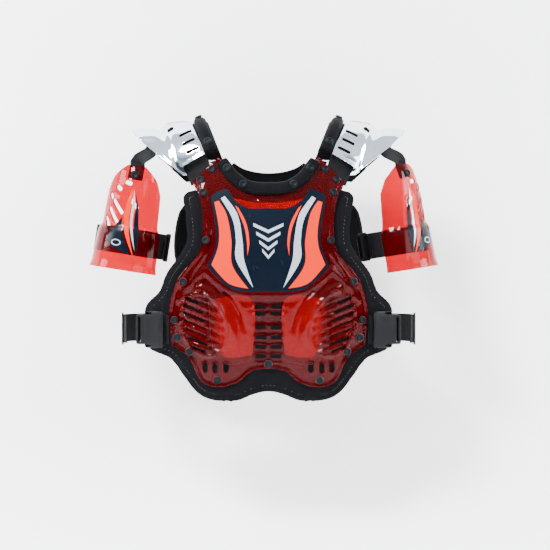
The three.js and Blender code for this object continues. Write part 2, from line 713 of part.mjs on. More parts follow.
function bucklePieces(name, side) {
  const group = new THREE.Group();
  group.position.set(side * buckle.x, -layerDepth(buckle.x, buckle.z, buckle.lift), buckle.z);
  group.rotation.z = side * buckleYaw();
  model.add(group);
  const half = { x: buckle.length / 2, z: buckle.height / 2 };
  const split = half.x - buckle.length * buckle.tongue;
  const flip = (from, to) => (side > 0 ? [from, to] : [-to, -from]);

  const body = boxShape(...flip(-half.x, split - gap / 2), -half.z, half.z, 6);
  const notch = (up) => boxShape(
    ...flip(split - 16, split + 1),
    up > 0 ? half.z - 7 : -half.z - 1,
    up > 0 ? half.z + 1 : -half.z + 7,
    0.5,
  );
  let bodySolid = solidFrom(plateOf(body, buckle.thick));
  for (const up of [-1, 1]) bodySolid = bodySolid.subtract(solidFrom(plateOf(notch(up), 2 * buckle.thick)));
  addPiece(`${name}_buckle_body`, geometryFrom(bodySolid), 'buckle', group);

  const tongue = boxShape(...flip(split + gap / 2, half.x), -half.z + 5, half.z - 5, 4);
  tongue.holes.push(boxShape(...flip(half.x - 10, half.x - 5), -half.z + 9, half.z - 9, 1));
  addPiece(`${name}_buckle_tongue`, plateOf(tongue, buckle.thick - 3), 'buckle', group);
}

// Point on the torso section at a height, turned from the side towards the back.
function girthPoint(side, turn, z, offset) {
  const depth = torsoDepth(z);
  const normal = new THREE.Vector2(depth * Math.cos(turn), torso.halfWidth * Math.sin(turn)).normalize();
  const x = torso.halfWidth * Math.cos(turn) + normal.x * offset;
  return new THREE.Vector3(side * x, depth * Math.sin(turn) + normal.y * offset, z);
}

// Strap clearance from the torso: share of the way from buckle to back, offset.
const strapLift = [[0, 22], [0.12, 17], [0.3, 12], [0.6, 9], [0.8, 6.8], [1, 6.4]];

function strapPieces(name, side) {
  const [turnFrom, turnTo] = [-0.335, 0.779];
  const strapAt = (s, t, offset) => girthPoint(
    side,
    turnFrom + (turnTo - turnFrom) * s,
    buckle.z + (0.5 - t) * sideStrap.width,
    rowValue(strapLift, s) + offset,
  );
  addPiece(
    `${name}_side_strap`,
    wall(14, 2, (s, t) => strapAt(s, t, sideStrap.wall), (s, t) => strapAt(s, t, 0)),
    'webbing',
  );
  const sliderAt = (s, t, offset) => strapAt(
    0.1 + 0.07 * s,
    0.5 + (t - 0.5) * 1.14,
    sideStrap.wall + gap + offset,
  );
  addPiece(
    `${name}_side_slider`,
    wall(2, 1, (s, t) => sliderAt(s, t, 2.5), (s, t) => sliderAt(s, t, 0)),
    'buckle',
  );
  const tabFrom = 1.012 * plate.halfWidth;
  const tabTo = buckle.x - (buckle.length / 2) * Math.cos(buckleYaw()) - 8 * gap;
  const tabAt = (s, t, offset) => layerPoint(
    side * (tabFrom + (tabTo - tabFrom) * s),
    buckle.z + (0.5 - t) * sideStrap.width,
    liner.wall + gap + offset,
    -1,
  );
  addPiece(
    `${name}_side_tab`,
    wall(1, 3, (s, t) => tabAt(s, t, sideStrap.wall), (s, t) => tabAt(s, t, 0)),
    'webbing',
  );
}

// Press studs

const studProfile = [[0, 0], [1, 0], [0.94, 0.5], [0.55, 1], [0, 0.86]].map(
  ([out, up]) => new THREE.Vector2(out * snap.radius, up * snap.height),
);

function addStud(name, place, out, parent = model) {
  const geometry = new THREE.LatheGeometry(studProfile, snap.sides);
  geometry.applyQuaternion(new THREE.Quaternion().setFromUnitVectors(new THREE.Vector3(0, 1, 0), out));
  const mesh = addPiece(name, geometry, 'stud', parent);
  mesh.position.copy(place);
}

function surfaceNormal(pointAt, a, b, step) {
  const alongA = new THREE.Vector3().subVectors(pointAt(a + step, b), pointAt(a - step, b));
  const alongB = new THREE.Vector3().subVectors(pointAt(a, b + step), pointAt(a, b - step));
  const normal = new THREE.Vector3().crossVectors(alongA, alongB).normalize();
  return normal.y > 0 ? normal.negate() : normal;
}

// Studs on the chest, in shares of the plate: name, across, down and the layer that carries them.
const chestStuds = [
  ['collar_inner', 0.254, 0.118, 'roll'], ['collar_outer', 0.42, 0.047, 'roll'],
  ['corner_inner', 0.573, 0.05, 'plate'], ['corner_outer', 0.69, 0.096, 'plate'],
  ['corner_lower', 0.66, 0.152, 'plate'],
  ['rail_upper', 0.629, 0.361, 'plate'], ['rail_lower', 0.86, 0.54, 'plate'],
  ['waist_upper', 0.955, 0.708, 'plate'], ['waist_lower', 0.93, 0.785, 'plate'],
  ['edge_side', 0.8, 0.845, 'plate'], ['edge_lower', 0.52, 0.972, 'plate'],
];

// A stud stands on the highest point of what lies under its rim.
function studOnChest(name, across, down, depthAt) {
  const x = across * plate.halfWidth;
  const z = plate.topZ - down * plate.height;
  const pointAt = (a, b) => new THREE.Vector3(a, -depthAt(a, b), b);
  const normal = surfaceNormal(pointAt, x, z, snap.radius);
  const centre = pointAt(x, z);
  const rises = Array.from({ length: 16 }, (_, i) => {
    const turn = (i / 16) * 2 * Math.PI;
    const rim = pointAt(x + snap.radius * Math.cos(turn), z + snap.radius * Math.sin(turn));
    return rim.sub(centre).dot(normal);
  });
  addStud(name, centre.addScaledVector(normal, Math.max(0, ...rises) + gap), normal);
}

function studPieces() {
  const shellOffset = (x, z) => offsetOf.onPlate + plateRelief(x, z);
  const depthOn = {
    plate: (x, z) => facetDepth(x, z, shellOffset),
    roll: (x, z) => layerDepth(x, z, offsetOf.onPlate + gap + roll.height),
  };
  for (const [name, across, down, on] of chestStuds) {
    for (const [label, side] of [['left', -1], ['right', 1]]) {
      studOnChest(`${label}_stud_${name}`, side * across, down, depthOn[on]);
    }
  }
  studOnChest('centre_stud', 0, 0.898, depthOn.plate);
}

// The whole deflector

chestSheets();
collarRoll('front_collar_roll', frontNeck, -1, offsetOf.onPlate + gap, roll.height);
collarRoll('back_collar_roll', backNeck, 1, -liner.wall / 2, roll.height + liner.wall);
studPieces();

for (const [name, side] of [['left', -1], ['right', 1]]) {
  shoulderPieces(name, side);
  const group = armPieces(name, side);
  hangerPiece(name, side, group);
  bucklePieces(name, side);
  strapPieces(name, side);
  for (const [label, angle] of [['lower', 66], ['upper', 14]]) {
    const u = -roll.width / 2 - 1.5 * gap - 1;
    const turn = THREE.MathUtils.degToRad(angle);
    const lifted = offsetOf.cupLiner + cupLiner.wall + (label === 'lower' ? 3 : 5) * gap + roll.height;
    const pointAt = (a, b) => shoulderPoint(side, a * 100, b, lifted);
    const normal = surfaceNormal(pointAt, u / 100, turn, 0.02);
    addStud(`${name}_stud_roll_${label}`, shoulderPoint(side, u, turn, lifted), normal);
  }
}

export default model;
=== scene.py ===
import math

import bmesh
import bpy
from mathutils import Matrix, Vector
from mathutils.kdtree import KDTree


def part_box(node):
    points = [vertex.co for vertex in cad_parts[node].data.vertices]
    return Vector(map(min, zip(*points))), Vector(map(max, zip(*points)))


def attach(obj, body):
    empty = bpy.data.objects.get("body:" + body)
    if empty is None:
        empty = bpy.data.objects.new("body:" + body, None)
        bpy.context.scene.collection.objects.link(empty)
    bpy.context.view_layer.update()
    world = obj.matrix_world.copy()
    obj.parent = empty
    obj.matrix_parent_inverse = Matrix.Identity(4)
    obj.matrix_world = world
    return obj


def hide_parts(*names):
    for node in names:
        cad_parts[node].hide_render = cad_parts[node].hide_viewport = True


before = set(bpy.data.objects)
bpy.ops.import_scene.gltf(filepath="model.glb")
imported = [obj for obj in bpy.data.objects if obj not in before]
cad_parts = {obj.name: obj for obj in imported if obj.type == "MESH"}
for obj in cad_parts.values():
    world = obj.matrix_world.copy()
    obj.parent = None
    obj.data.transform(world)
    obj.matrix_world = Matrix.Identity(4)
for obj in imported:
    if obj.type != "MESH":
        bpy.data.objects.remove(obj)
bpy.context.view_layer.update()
print("frame loaded")

# camera: the photograph looks straight at the chest, 1.75 mm to a pixel over 550 pixels
camera = {"lens": 100, "sensor": 36, "frameWidth": 0.9625, "aimX": 0.0114, "aimZ": -0.264, "planeY": -0.07}


def makeCamera():
    data = bpy.data.cameras.new("chestCamera")
    data.lens = camera["lens"]
    data.sensor_width = camera["sensor"]
    distance = camera["frameWidth"] * camera["lens"] / camera["sensor"]
    obj = bpy.data.objects.new("chestCamera", data)
    obj.location = (camera["aimX"], camera["planeY"] - distance, camera["aimZ"])
    obj.rotation_euler = (math.radians(90), 0, 0)
    bpy.context.collection.objects.link(obj)
    bpy.context.scene.camera = obj


makeCamera()

# the torso that every sheet is shaped over, as in the solids
torso = {"halfWidth": 0.245, "depth": 0.122, "deepestZ": -0.260, "fall": 0.051, "fallSpan": 0.260}
plateLow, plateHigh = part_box("chest_plate")
plate = {"halfWidth": 0.171, "top": plateHigh.z, "height": plateHigh.z - plateLow.z, "wall": 0.003}
layers = {"liner": 0.006, "gap": 0.0004, "cupLiner": 0.006, "cupLinerWall": 0.0055, "cupWall": 0.003}
layers["plate"] = layers["liner"] + layers["gap"]
layers["onPlate"] = layers["plate"] + plate["wall"]
layers["cup"] = layers["cupLiner"] + layers["cupLinerWall"] + layers["gap"]
layers["onCup"] = layers["cup"] + layers["cupWall"]


def torsoDepth(z):
    return torso["depth"] - torso["fall"] * ((z - torso["deepestZ"]) / torso["fallSpan"]) ** 2


def layerDepth(x, z, offset):
    share = min(abs(x) / torso["halfWidth"], 0.93)
    root = math.sqrt(1 - share * share)
    slope = torsoDepth(z) * share / (torso["halfWidth"] * root)
    return torsoDepth(z) * root + offset * math.hypot(1, slope)


def smoothStep(low, high, value):
    share = min(max((value - low) / (high - low), 0), 1)
    return share * share * (3 - 2 * share)


def rowValue(rows, at):
    for low, high in zip(rows, rows[1:]):
        if at <= high[0]:
            share = max(at - low[0], 0) / (high[0] - low[0])
            return low[1] + (high[1] - low[1]) * share
    return rows[-1][1]


# flat outlines, smooth between their corners

def smoothRun(points, spacing):
    run = []
    for i in range(len(points) - 1):
        before, here, after = points[max(i - 1, 0)], points[i], points[i + 1]
        beyond = points[min(i + 2, len(points) - 1)]
        steps = max(1, round((after - here).length / spacing))
        if len(points) == 2:
            steps = 1
        for k in range(steps):
            t = k / steps
            run.append(0.5 * (2 * here + (after - before) * t
                              + (2 * before - 5 * here + 4 * after - beyond) * t * t
                              + (3 * here - before - 3 * after + beyond) * t * t * t))
    return run


def smoothLoop(rows, spacing=0.004):
    # rows of (across, up, corner) in metres
    points = [(Vector((row[0], row[1])), len(row) > 2 and row[2]) for row in rows]
    first = next((i for i, (_, corner) in enumerate(points) if corner), None)
    if first is None:
        ring = [p for p, _ in points]
        size = len(ring)
        run = smoothRun([ring[(i - 1) % size] for i in range(size + 3)], spacing)
        head = max(1, round((ring[0] - ring[-1]).length / spacing))
        tail = max(1, round((ring[1] - ring[0]).length / spacing))
        return run[head:len(run) - tail]
    ring = points[first:] + points[:first] + [points[first]]
    loop, stretch = [], []
    for p, corner in ring:
        stretch.append(p)
        if corner and len(stretch) > 1:
            loop += smoothRun(stretch, spacing)
            stretch = [p]
    return loop


def slotLoop(x, z, length, width, turn, segments=6):
    half, radius = (length - width) / 2, width / 2
    along = Vector((math.cos(turn), math.sin(turn))) * half
    loop = []
    for sign, start in ((1, turn - math.pi / 2), (-1, turn + math.pi / 2)):
        for k in range(segments + 1):
            a = start + math.pi * k / segments
            loop.append(Vector((x, z)) + sign * along + radius * Vector((math.cos(a), math.sin(a))))
    return loop


def chestRows(rows, side=1):
    return [(side * row[0] * plate["halfWidth"], plate["top"] - row[1] * plate["height"], len(row) > 2)
            for row in rows]


def bothSides(rows):
    return rows + [(-x, z, corner) for x, z, corner in reversed(rows) if x > 0]


sides = (("left", -1), ("right", 1))


def joined(name, label):
    return name + label[0].upper() + label[1:]


def rectangle(x0, x1, z0, z1):
    return [Vector((x0, z0)), Vector((x1, z0)), Vector((x1, z1)), Vector((x0, z1))]


# sheets: a flat face with holes, cut into a grid, laid on a surface and given a wall
grid = {"chest": 0.0023, "cup": 0.0026, "crest": 0.003, "print": 0.0035, "plain": 0.004, "soft": 0.005,
        "coarse": 0.006}
thinner = 0.0004  # a hard shell's wall is this much thinner than the solid's


def flatSheet(outer, holes, step):
    bm = bmesh.new()
    for loop in [outer] + list(holes):
        ring = [bm.verts.new((p.x, 0, p.y)) for p in loop]
        for a, b in zip(ring, ring[1:] + ring[:1]):
            bm.edges.new((a, b))
    bmesh.ops.remove_doubles(bm, verts=bm.verts[:], dist=1e-5)
    bmesh.ops.triangle_fill(bm, use_beauty=True, use_dissolve=False, edges=bm.edges[:])
    for axis in (0, 2):
        low = min(v.co[axis] for v in bm.verts)
        high = max(v.co[axis] for v in bm.verts)
        normal = Vector((0, 0, 0))
        normal[axis] = 1
        for n in range(math.ceil(low / step), math.floor(high / step) + 1):
            bmesh.ops.bisect_plane(bm, geom=bm.verts[:] + bm.edges[:] + bm.faces[:], dist=1e-6,
                                   plane_co=normal * n * step, plane_no=normal)
    slanted = []
    for edge in bm.edges:
        along = edge.verts[1].co - edge.verts[0].co
        if len(edge.link_faces) == 2 and abs(along.x) > 1e-6 and abs(along.z) > 1e-6:
            slanted.append(edge)
    bmesh.ops.dissolve_edges(bm, edges=slanted, use_verts=False)
    loose = [v for v in bm.verts if len(v.link_edges) == 2 and not v.is_boundary]
    bmesh.ops.dissolve_verts(bm, verts=loose)
    layer = bm.loops.layers.uv.new("flat")
    for face in bm.faces:
        for loop in face.loops:
            loop[layer].uv = (loop.vert.co.x * 10, loop.vert.co.z * 10)  # 1 is 100 mm
    return bm


def laySheet(bm, surfaceAt, inside):
    for v in bm.verts:
        v.co = surfaceAt(v.co.x, v.co.z)
    bm.normal_update()
    outward = sum(face.normal.dot(face.calc_center_median() - inside) * face.calc_area() for face in bm.faces)
    if outward < 0:
        bmesh.ops.reverse_faces(bm, faces=bm.faces[:])


def addPiece(name, bm, look, nodes=(), wall=0, bevel=0, segments=2, sharp=38, soft=0):
    mesh = bpy.data.meshes.new(name)
    bm.to_mesh(mesh)
    bm.free()
    obj = bpy.data.objects.new(name, mesh)
    bpy.context.collection.objects.link(obj)
    if wall:
        solid = obj.modifiers.new("wall", "SOLIDIFY")
        solid.thickness = wall
        solid.offset = 1
    if bevel:
        edges = obj.modifiers.new("edges", "BEVEL")
        edges.width = bevel
        edges.segments = segments
        edges.limit_method = "ANGLE"
        edges.angle_limit = math.radians(50)
        edges.use_clamp_overlap = True
    if obj.modifiers:
        graph = bpy.context.evaluated_depsgraph_get()
        obj.data = bpy.data.meshes.new_from_object(obj.evaluated_get(graph))
        obj.data.name = name
        obj.modifiers.clear()
    for polygon in obj.data.polygons:
        polygon.use_smooth = True
    obj.data.set_sharp_from_angle(angle=math.radians(sharp))
    obj.data.materials.clear()
    obj.data.materials.append(looks[look])
    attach(obj, "root")
    if nodes:
        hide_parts(*nodes)


def sheetPiece(name, look, nodes, loop, holes, step, surfaceAt, inside, **finish):
    bm = flatSheet(loop, holes, step)
    laySheet(bm, surfaceAt, inside)
    addPiece(name, bm, look, nodes, **finish)


# effects that materials share

def shaderGroup(name, inputs, outputs):
    tree = bpy.data.node_groups.new(name, "ShaderNodeTree")
    for label, value in inputs:
        kind = "NodeSocketColor" if isinstance(value, tuple) else "NodeSocketFloat"
        if label == "Vector":
            kind = "NodeSocketVector"
        socket = tree.interface.new_socket(label, in_out="INPUT", socket_type=kind)
        if label != "Vector":
            socket.default_value = value
    for label, kind in outputs:
        tree.interface.new_socket(label, in_out="OUTPUT", socket_type=kind)
    return tree, tree.nodes.new("NodeGroupInput"), tree.nodes.new("NodeGroupOutput")


def noiseNode(tree, scale, detail=3, roughness=0.5):
    node = tree.nodes.new("ShaderNodeTexNoise")
    node.inputs["Scale"].default_value = scale
    node.inputs["Detail"].default_value = detail
    node.inputs["Roughness"].default_value = roughness
    return node


def mathNode(tree, operation, first, second=None):
    node = tree.nodes.new("ShaderNodeMath")
    node.operation = operation
    for socket, value in zip(node.inputs, (first, second)):
        if value is None:
            continue
        if isinstance(value, (int, float)):
            socket.default_value = value
        else:
            tree.links.new(value, socket)
    return node.outputs[0]


def mixColour(tree, mask, first, second):
    node = tree.nodes.new("ShaderNodeMix")
    node.data_type = "RGBA"
    tree.links.new(mask, node.inputs["Factor"])
    for label, value in (("A", first), ("B", second)):
        socket = [s for s in node.inputs if s.name == label and s.type == "RGBA"][0]
        if isinstance(value, tuple):
            socket.default_value = value
        else:
            tree.links.new(value, socket)
    return [s for s in node.outputs if s.type == "RGBA"][0]


def ramp(tree, value, low, high):
    node = tree.nodes.new("ShaderNodeMapRange")
    node.inputs["From Min"].default_value = low
    node.inputs["From Max"].default_value = high
    tree.links.new(value, node.inputs["Value"])
    return node.outputs["Result"]


def makeGrainGroup():
    # fine grain with slow cloudy variation: height, cloud mask
    tree, source, result = shaderGroup(
        "fineGrain", [("Vector", None), ("Scale", 900.0), ("Cloud", 9.0)],
        [("Height", "NodeSocketFloat"), ("Cloudy", "NodeSocketFloat")])
    grain = noiseNode(tree, 900, 2)
    cloud = noiseNode(tree, 9, 3)
    for node, label in ((grain, "Scale"), (cloud, "Cloud")):
        tree.links.new(source.outputs["Vector"], node.inputs["Vector"])
        tree.links.new(source.outputs[label], node.inputs["Scale"])
    tree.links.new(grain.outputs["Fac"], result.inputs["Height"])
    tree.links.new(cloud.outputs["Fac"], result.inputs["Cloudy"])
    return tree


def makeWeaveGroup():
    # ribbed webbing: long ribs crossed by short picks; the Rib output also colours the webbing as painted
    # shade, darker in the grooves between ribs and lighter on their crests
    tree, source, result = shaderGroup(
        "webWeave", [("Vector", None), ("Ribs", 90.0), ("Picks", 140.0)],
        [("Height", "NodeSocketFloat"), ("Rib", "NodeSocketFloat")])
    split = tree.nodes.new("ShaderNodeSeparateXYZ")
    tree.links.new(source.outputs["Vector"], split.inputs[0])
    rib = mathNode(tree, "SINE", mathNode(tree, "MULTIPLY", split.outputs["Y"], source.outputs["Ribs"]))
    swap = mathNode(tree, "SIGN", mathNode(tree, "SINE", mathNode(
        tree, "MULTIPLY", split.outputs["Y"], mathNode(tree, "MULTIPLY", source.outputs["Ribs"], 0.5))))
    pickPhase = mathNode(tree, "ADD", mathNode(tree, "MULTIPLY", split.outputs["X"], source.outputs["Picks"]),
                         mathNode(tree, "MULTIPLY", swap, 1.57))
    pick = mathNode(tree, "SINE", pickPhase)
    height = mathNode(tree, "ADD", mathNode(tree, "ABSOLUTE", rib), mathNode(tree, "MULTIPLY", pick, 0.35))
    tree.links.new(height, result.inputs["Height"])
    tree.links.new(mathNode(tree, "ABSOLUTE", rib), result.inputs["Rib"])
    return tree


def makeScuffGroup():
    # thin handling scratches as a mask
    tree, source, result = shaderGroup(
        "lightScuff", [("Vector", None), ("Scale", 30.0)], [("Scuff", "NodeSocketFloat")])
    stretch = tree.nodes.new("ShaderNodeMapping")
    stretch.inputs["Rotation"].default_value = (0.2, 0.9, 0.5)
    stretch.inputs["Scale"].default_value = (1, 12, 1)
    tree.links.new(source.outputs["Vector"], stretch.inputs["Vector"])
    noise = noiseNode(tree, 30, 6, 0.7)
    tree.links.new(stretch.outputs["Vector"], noise.inputs["Vector"])
    tree.links.new(source.outputs["Scale"], noise.inputs["Scale"])
    tree.links.new(ramp(tree, noise.outputs["Fac"], 0.6, 0.75), result.inputs["Scuff"])
    return tree


groups = {"grain": makeGrainGroup(), "weave": makeWeaveGroup(), "scuff": makeScuffGroup()}


def placeGroup(tree, name, vector, **values):
    node = tree.nodes.new("ShaderNodeGroup")
    node.node_tree = groups[name]
    tree.links.new(vector, node.inputs["Vector"])
    for label, value in values.items():
        node.inputs[label].default_value = value
    return node


def startMaterial(name, fixed, coordinates="Object"):
    material = bpy.data.materials.new(name)
    material.use_nodes = True
    tree = material.node_tree
    shader = tree.nodes["Principled BSDF"]
    for label, value in fixed.items():
        shader.inputs[label].default_value = value
    place = tree.nodes.new("ShaderNodeTexCoord")
    centre = tree.nodes.new("ShaderNodeMapping")
    tree.links.new(place.outputs[coordinates], centre.inputs["Vector"])
    return material, tree, shader, centre.outputs["Vector"]


def bump(tree, shader, height, strength, distance):
    node = tree.nodes.new("ShaderNodeBump")
    node.inputs["Strength"].default_value = strength
    node.inputs["Distance"].default_value = distance
    tree.links.new(height, node.inputs["Height"])
    tree.links.new(node.outputs["Normal"], shader.inputs["Normal"])


def grainMaterial(name, dark, light, rough, grain, depth, fixed):
    material, tree, shader, vector = startMaterial(name, fixed)
    group = placeGroup(tree, "grain", vector, Scale=grain)
    tree.links.new(mixColour(tree, group.outputs["Cloudy"], dark, light), shader.inputs["Base Color"])
    scuff = placeGroup(tree, "scuff", vector)
    spread = mathNode(tree, "MULTIPLY", scuff.outputs["Scuff"], 0.12)
    tree.links.new(mathNode(tree, "ADD", spread, rough), shader.inputs["Roughness"])
    bump(tree, shader, group.outputs["Height"], 0.5, depth)
    return material


def webMaterial(name, dark, light, ribs, picks):
    material, tree, shader, vector = startMaterial(name, {"Specular IOR Level": 0.08}, "UV")
    weave = placeGroup(tree, "weave", vector, Ribs=ribs, Picks=picks)
    # painted shade: the colour follows the rib height, darker in the grooves between ribs and lighter on the
    # rib crests
    tree.links.new(mixColour(tree, weave.outputs["Rib"], dark, light), shader.inputs["Base Color"])
    shader.inputs["Roughness"].default_value = 0.8
    bump(tree, shader, weave.outputs["Height"], 0.6, 0.0006)
    return material


looks = {
    "red_shell": grainMaterial(
        "redShell", (0.38, 0.0012, 0.006, 1), (0.46, 0.0025, 0.009, 1), 0.05, 25, 0.0003,
        {"Transmission Weight": 0.95, "IOR": 1.2, "Specular IOR Level": 0.16}),
    "chrome_shell": grainMaterial(
        "chromeShell", (0.58, 0.66, 0.75, 1), (0.74, 0.80, 0.87, 1), 0.07, 18, 0.0005,
        {"Metallic": 1.0}),
    "black_foam": grainMaterial(
        "blackFoam", (0.0014, 0.0016, 0.002, 1), (0.0034, 0.0037, 0.0046, 1), 0.68, 1400, 0.0003,
        {"Specular IOR Level": 0.03}),
    "black_plastic": grainMaterial(
        "blackPlastic", (0.003, 0.0033, 0.004, 1), (0.006, 0.0064, 0.0075, 1), 0.36, 1600, 0.0002,
        {"Specular IOR Level": 0.12}),
    "snap_metal": grainMaterial(
        "snapMetal", (0.0015, 0.0028, 0.0038, 1), (0.004, 0.0065, 0.008, 1), 0.38, 500, 0.0001,
        {"Specular IOR Level": 0.06}),
    "decal_navy": grainMaterial(
        "decalNavy", (0.001, 0.0026, 0.0055, 1), (0.0024, 0.005, 0.010, 1), 0.24, 60, 0.0001,
        {"Specular IOR Level": 0.12}),
    "decal_orange": grainMaterial(
        "decalOrange", (0.46, 0.012, 0.001, 1), (0.54, 0.020, 0.002, 1), 0.24, 60, 0.0001,
        {"Specular IOR Level": 0.12}),
    "decal_silver": grainMaterial(
        "decalSilver", (0.26, 0.30, 0.36, 1), (0.42, 0.46, 0.52, 1), 0.26, 60, 0.0001, {"Metallic": 0.2}),
    "thread": grainMaterial(
        "thread", (0.02, 0.021, 0.024, 1), (0.035, 0.036, 0.04, 1), 0.7, 2500, 0.0001, {}),
    "black_webbing": webMaterial(
        "blackWebbing", (0.0025, 0.0027, 0.0032, 1), (0.008, 0.0083, 0.0095, 1), 210, 300),
}
print("materials made")

# outlines in shares of the chest plate: across, down, and a mark at corners
frontNeck = [(0, 0.137), (0.15, 0.134), (0.254, 0.118), (0.363, 0.082), (0.435, 0.04), (0.485, 0.012)]
plateSides = [
    (0.512, 0, 1), (0.766, 0.107, 1), (0.7, 0.17), (0.661, 0.235), (0.655, 0.338), (0.684, 0.409),
    (0.83, 0.487), (0.936, 0.555), (1, 0.655), (0.994, 0.733), (0.971, 0.816, 1), (0.801, 0.872),
    (0.684, 0.972), (0.503, 1), (0.31, 0.977), (0.164, 0.927), (0, 0.917)]
grille = {"across": 0.649, "down": 0.728, "halfWidth": 0.228, "halfHeight": 0.135, "lean": 0.12,
          "slotAcross": 0.735, "slotLength": 0.59, "count": 7, "slope": 22, "pitch": 0.0355, "width": 0.0065}
smallSlots = [
    (0.094, 0.648, 0.024, 0.006, 0), (0.094, 0.678, 0.024, 0.006, 0), (0.08, 0.736, 0.021, 0.007, 0),
    (0.08, 0.779, 0.021, 0.007, 0), (0.08, 0.821, 0.021, 0.007, 0), (0.08, 0.863, 0.021, 0.007, 0),
    (0.427, 0.914, 0.017, 0.009, 90), (0.538, 0.916, 0.017, 0.009, 90), (0.637, 0.914, 0.017, 0.009, 90)]
relief = {"rail": 0.004, "railWidth": 0.015, "dome": 0.003, "ridge": 0.0036, "lip": 0.0012,
          "lipWidth": 0.0035, "rib": 0.0036, "edge": 0.0013, "groove": 0.0012, "panel": 0.002,
          "hem": 0.0026, "crease": 0.004, "brow": 0.0042, "dimple": 0.0014}


def chestPlace(across, down, side=1):
    return side * across * plate["halfWidth"], plate["top"] - down * plate["height"]


def plateSlots():
    # (x, z, length, width, turn) of every slot in the chest plate
    found = []
    for side in (-1, 1):
        for i in range(grille["count"]):
            step = i - (grille["count"] - 1) / 2
            share = step * grille["pitch"] / grille["halfHeight"]
            chord = 2 * grille["halfWidth"] * plate["halfWidth"] * math.sqrt(1 - share * share)
            length = chord * grille["slotLength"]
            x, z = chestPlace(grille["slotAcross"], grille["down"] + step * grille["pitch"], side)
            x -= side * step * grille["lean"] * grille["pitch"] * plate["height"]
            found.append((x, z, length, grille["width"], side * math.radians(grille["slope"])))
        for across, down, length, width, turn in smallSlots:
            found.append((*chestPlace(across, down, side), length, width, math.radians(turn)))
    return found


chestSlots = plateSlots()
railRows = [(0.147, 0.69), (0.34, 0.64), (0.42, 0.68), (0.54, 0.86)]
hemPath = [chestPlace(*row) for row in (
    (0, 0.598), (0.24, 0.596), (0.4, 0.578), (0.53, 0.535), (0.64, 0.49), (0.76, 0.535), (0.9, 0.62))]
browPath = [chestPlace(*row) for row in (
    (0.69, 0.57), (0.6, 0.585), (0.5, 0.63), (0.42, 0.69), (0.36, 0.76), (0.33, 0.82))]
creasePath = [chestPlace(*row) for row in ((0.45, 0.585), (0.36, 0.62), (0.28, 0.68), (0.24, 0.75))]


def pathDistance(x, z, points):
    best = 1.0
    for (ax, az), (bx, bz) in zip(points, points[1:]):
        dx, dz = bx - ax, bz - az
        t = min(max(((x - ax) * dx + (z - az) * dz) / (dx * dx + dz * dz), 0), 1)
        best = min(best, math.hypot(x - ax - t * dx, z - az - t * dz))
    return best


def outlineTree(loop):
    tree = KDTree(len(loop))
    for i, p in enumerate(loop):
        tree.insert((p.x, p.y, 0), i)
    tree.balance()
    return tree


def insideLoop(loop, x, z):
    inside = False
    for a, b in zip(loop, loop[1:] + loop[:1]):
        if (a.y > z) != (b.y > z) and x < a.x + (b.x - a.x) * (z - a.y) / (b.y - a.y):
            inside = not inside
    return inside


def slotDistance(x, z, slot):
    # distance outside the rounded slot's rim
    sx, sz, length, width, turn = slot
    dx, dz = x - sx, z - sz
    along = dx * math.cos(turn) + dz * math.sin(turn)
    aside = -dx * math.sin(turn) + dz * math.cos(turn)
    beyond = max(abs(along) - (length - width) / 2, 0)
    return math.hypot(beyond, aside) - width / 2


plateOutline = smoothLoop(bothSides(chestRows(frontNeck + plateSides)), 0.003)
plateEdge = outlineTree(plateOutline)


def plateRelief(x, z):
    across, down = abs(x) / plate["halfWidth"], (plate["top"] - z) / plate["height"]
    aside = abs(across - rowValue(railRows, down)) * plate["halfWidth"]
    ends = smoothStep(0.1, 0.17, down) * (1 - smoothStep(0.54, 0.6, down))
    height = relief["rail"] * ends * (1 - smoothStep(0.4, 1, aside / relief["railWidth"]))
    step = (down - grille["down"]) / grille["pitch"]
    middle = grille["across"] - step * grille["lean"] * grille["pitch"] * plate["height"] / plate["halfWidth"]
    away = math.hypot((across - middle) / grille["halfWidth"], (down - grille["down"]) / grille["halfHeight"])
    height += relief["dome"] * (1 - smoothStep(0.6, 1.1, away))
    height += relief["ridge"] * (1 - smoothStep(0, 0.07, abs(away - 1.0)))
    slope = math.tan(math.radians(grille["slope"])) * plate["halfWidth"] / plate["height"]
    phase = step + (across - grille["slotAcross"]) * slope / grille["pitch"]
    ribs = 0.5 + 0.5 * math.cos(2 * math.pi * phase)
    height -= relief["rib"] * smoothStep(0.25, 0.75, ribs) * (1 - smoothStep(0.84, 0.93, away))
    near = min(slotDistance(x, z, slot) for slot in chestSlots)
    height += relief["lip"] * (1 - smoothStep(0.3, 1, near / relief["lipWidth"]))
    panel = smoothStep(0.61, 0.635, down) * (1 - smoothStep(0.875, 0.895, down))
    height -= relief["panel"] * panel * (1 - smoothStep(0.022, 0.027, abs(x)))
    height += relief["hem"] * math.exp(-(pathDistance(abs(x), z, hemPath) / 0.0055) ** 2)
    height += relief["brow"] * math.exp(-(pathDistance(abs(x), z, browPath) / 0.007) ** 2)
    height -= relief["crease"] * math.exp(-(pathDistance(abs(x), z, creasePath) / 0.003) ** 2)
    height -= relief["dimple"] * (1 - smoothStep(0.003, 0.0055, math.hypot(abs(x) - 0.0205, z + 0.133)))
    edge = plateEdge.find((x, z, 0))[2]
    height += relief["edge"] * (1 - smoothStep(0.0015, 0.0045, edge))
    return height - relief["groove"] * math.exp(-((edge - 0.0065) / 0.0016) ** 2)


def chestSurface(half, offset, reliefAt=None):
    def place(x, z):
        raised = reliefAt(x, z) if reliefAt else 0
        return Vector((x, half * layerDepth(x, z, offset + raised), z))
    return place


torsoCentre = Vector((0, 0, -0.25))


def makeChestPlate():
    holes = [slotLoop(*slot) for slot in chestSlots]
    sheetPiece("chestPlate", "red_shell", ["chest_plate"], plateOutline, holes, grid["chest"],
               chestSurface(-1, layers["plate"], plateRelief), torsoCentre,
               wall=plate["wall"] - thinner, bevel=0.0005)


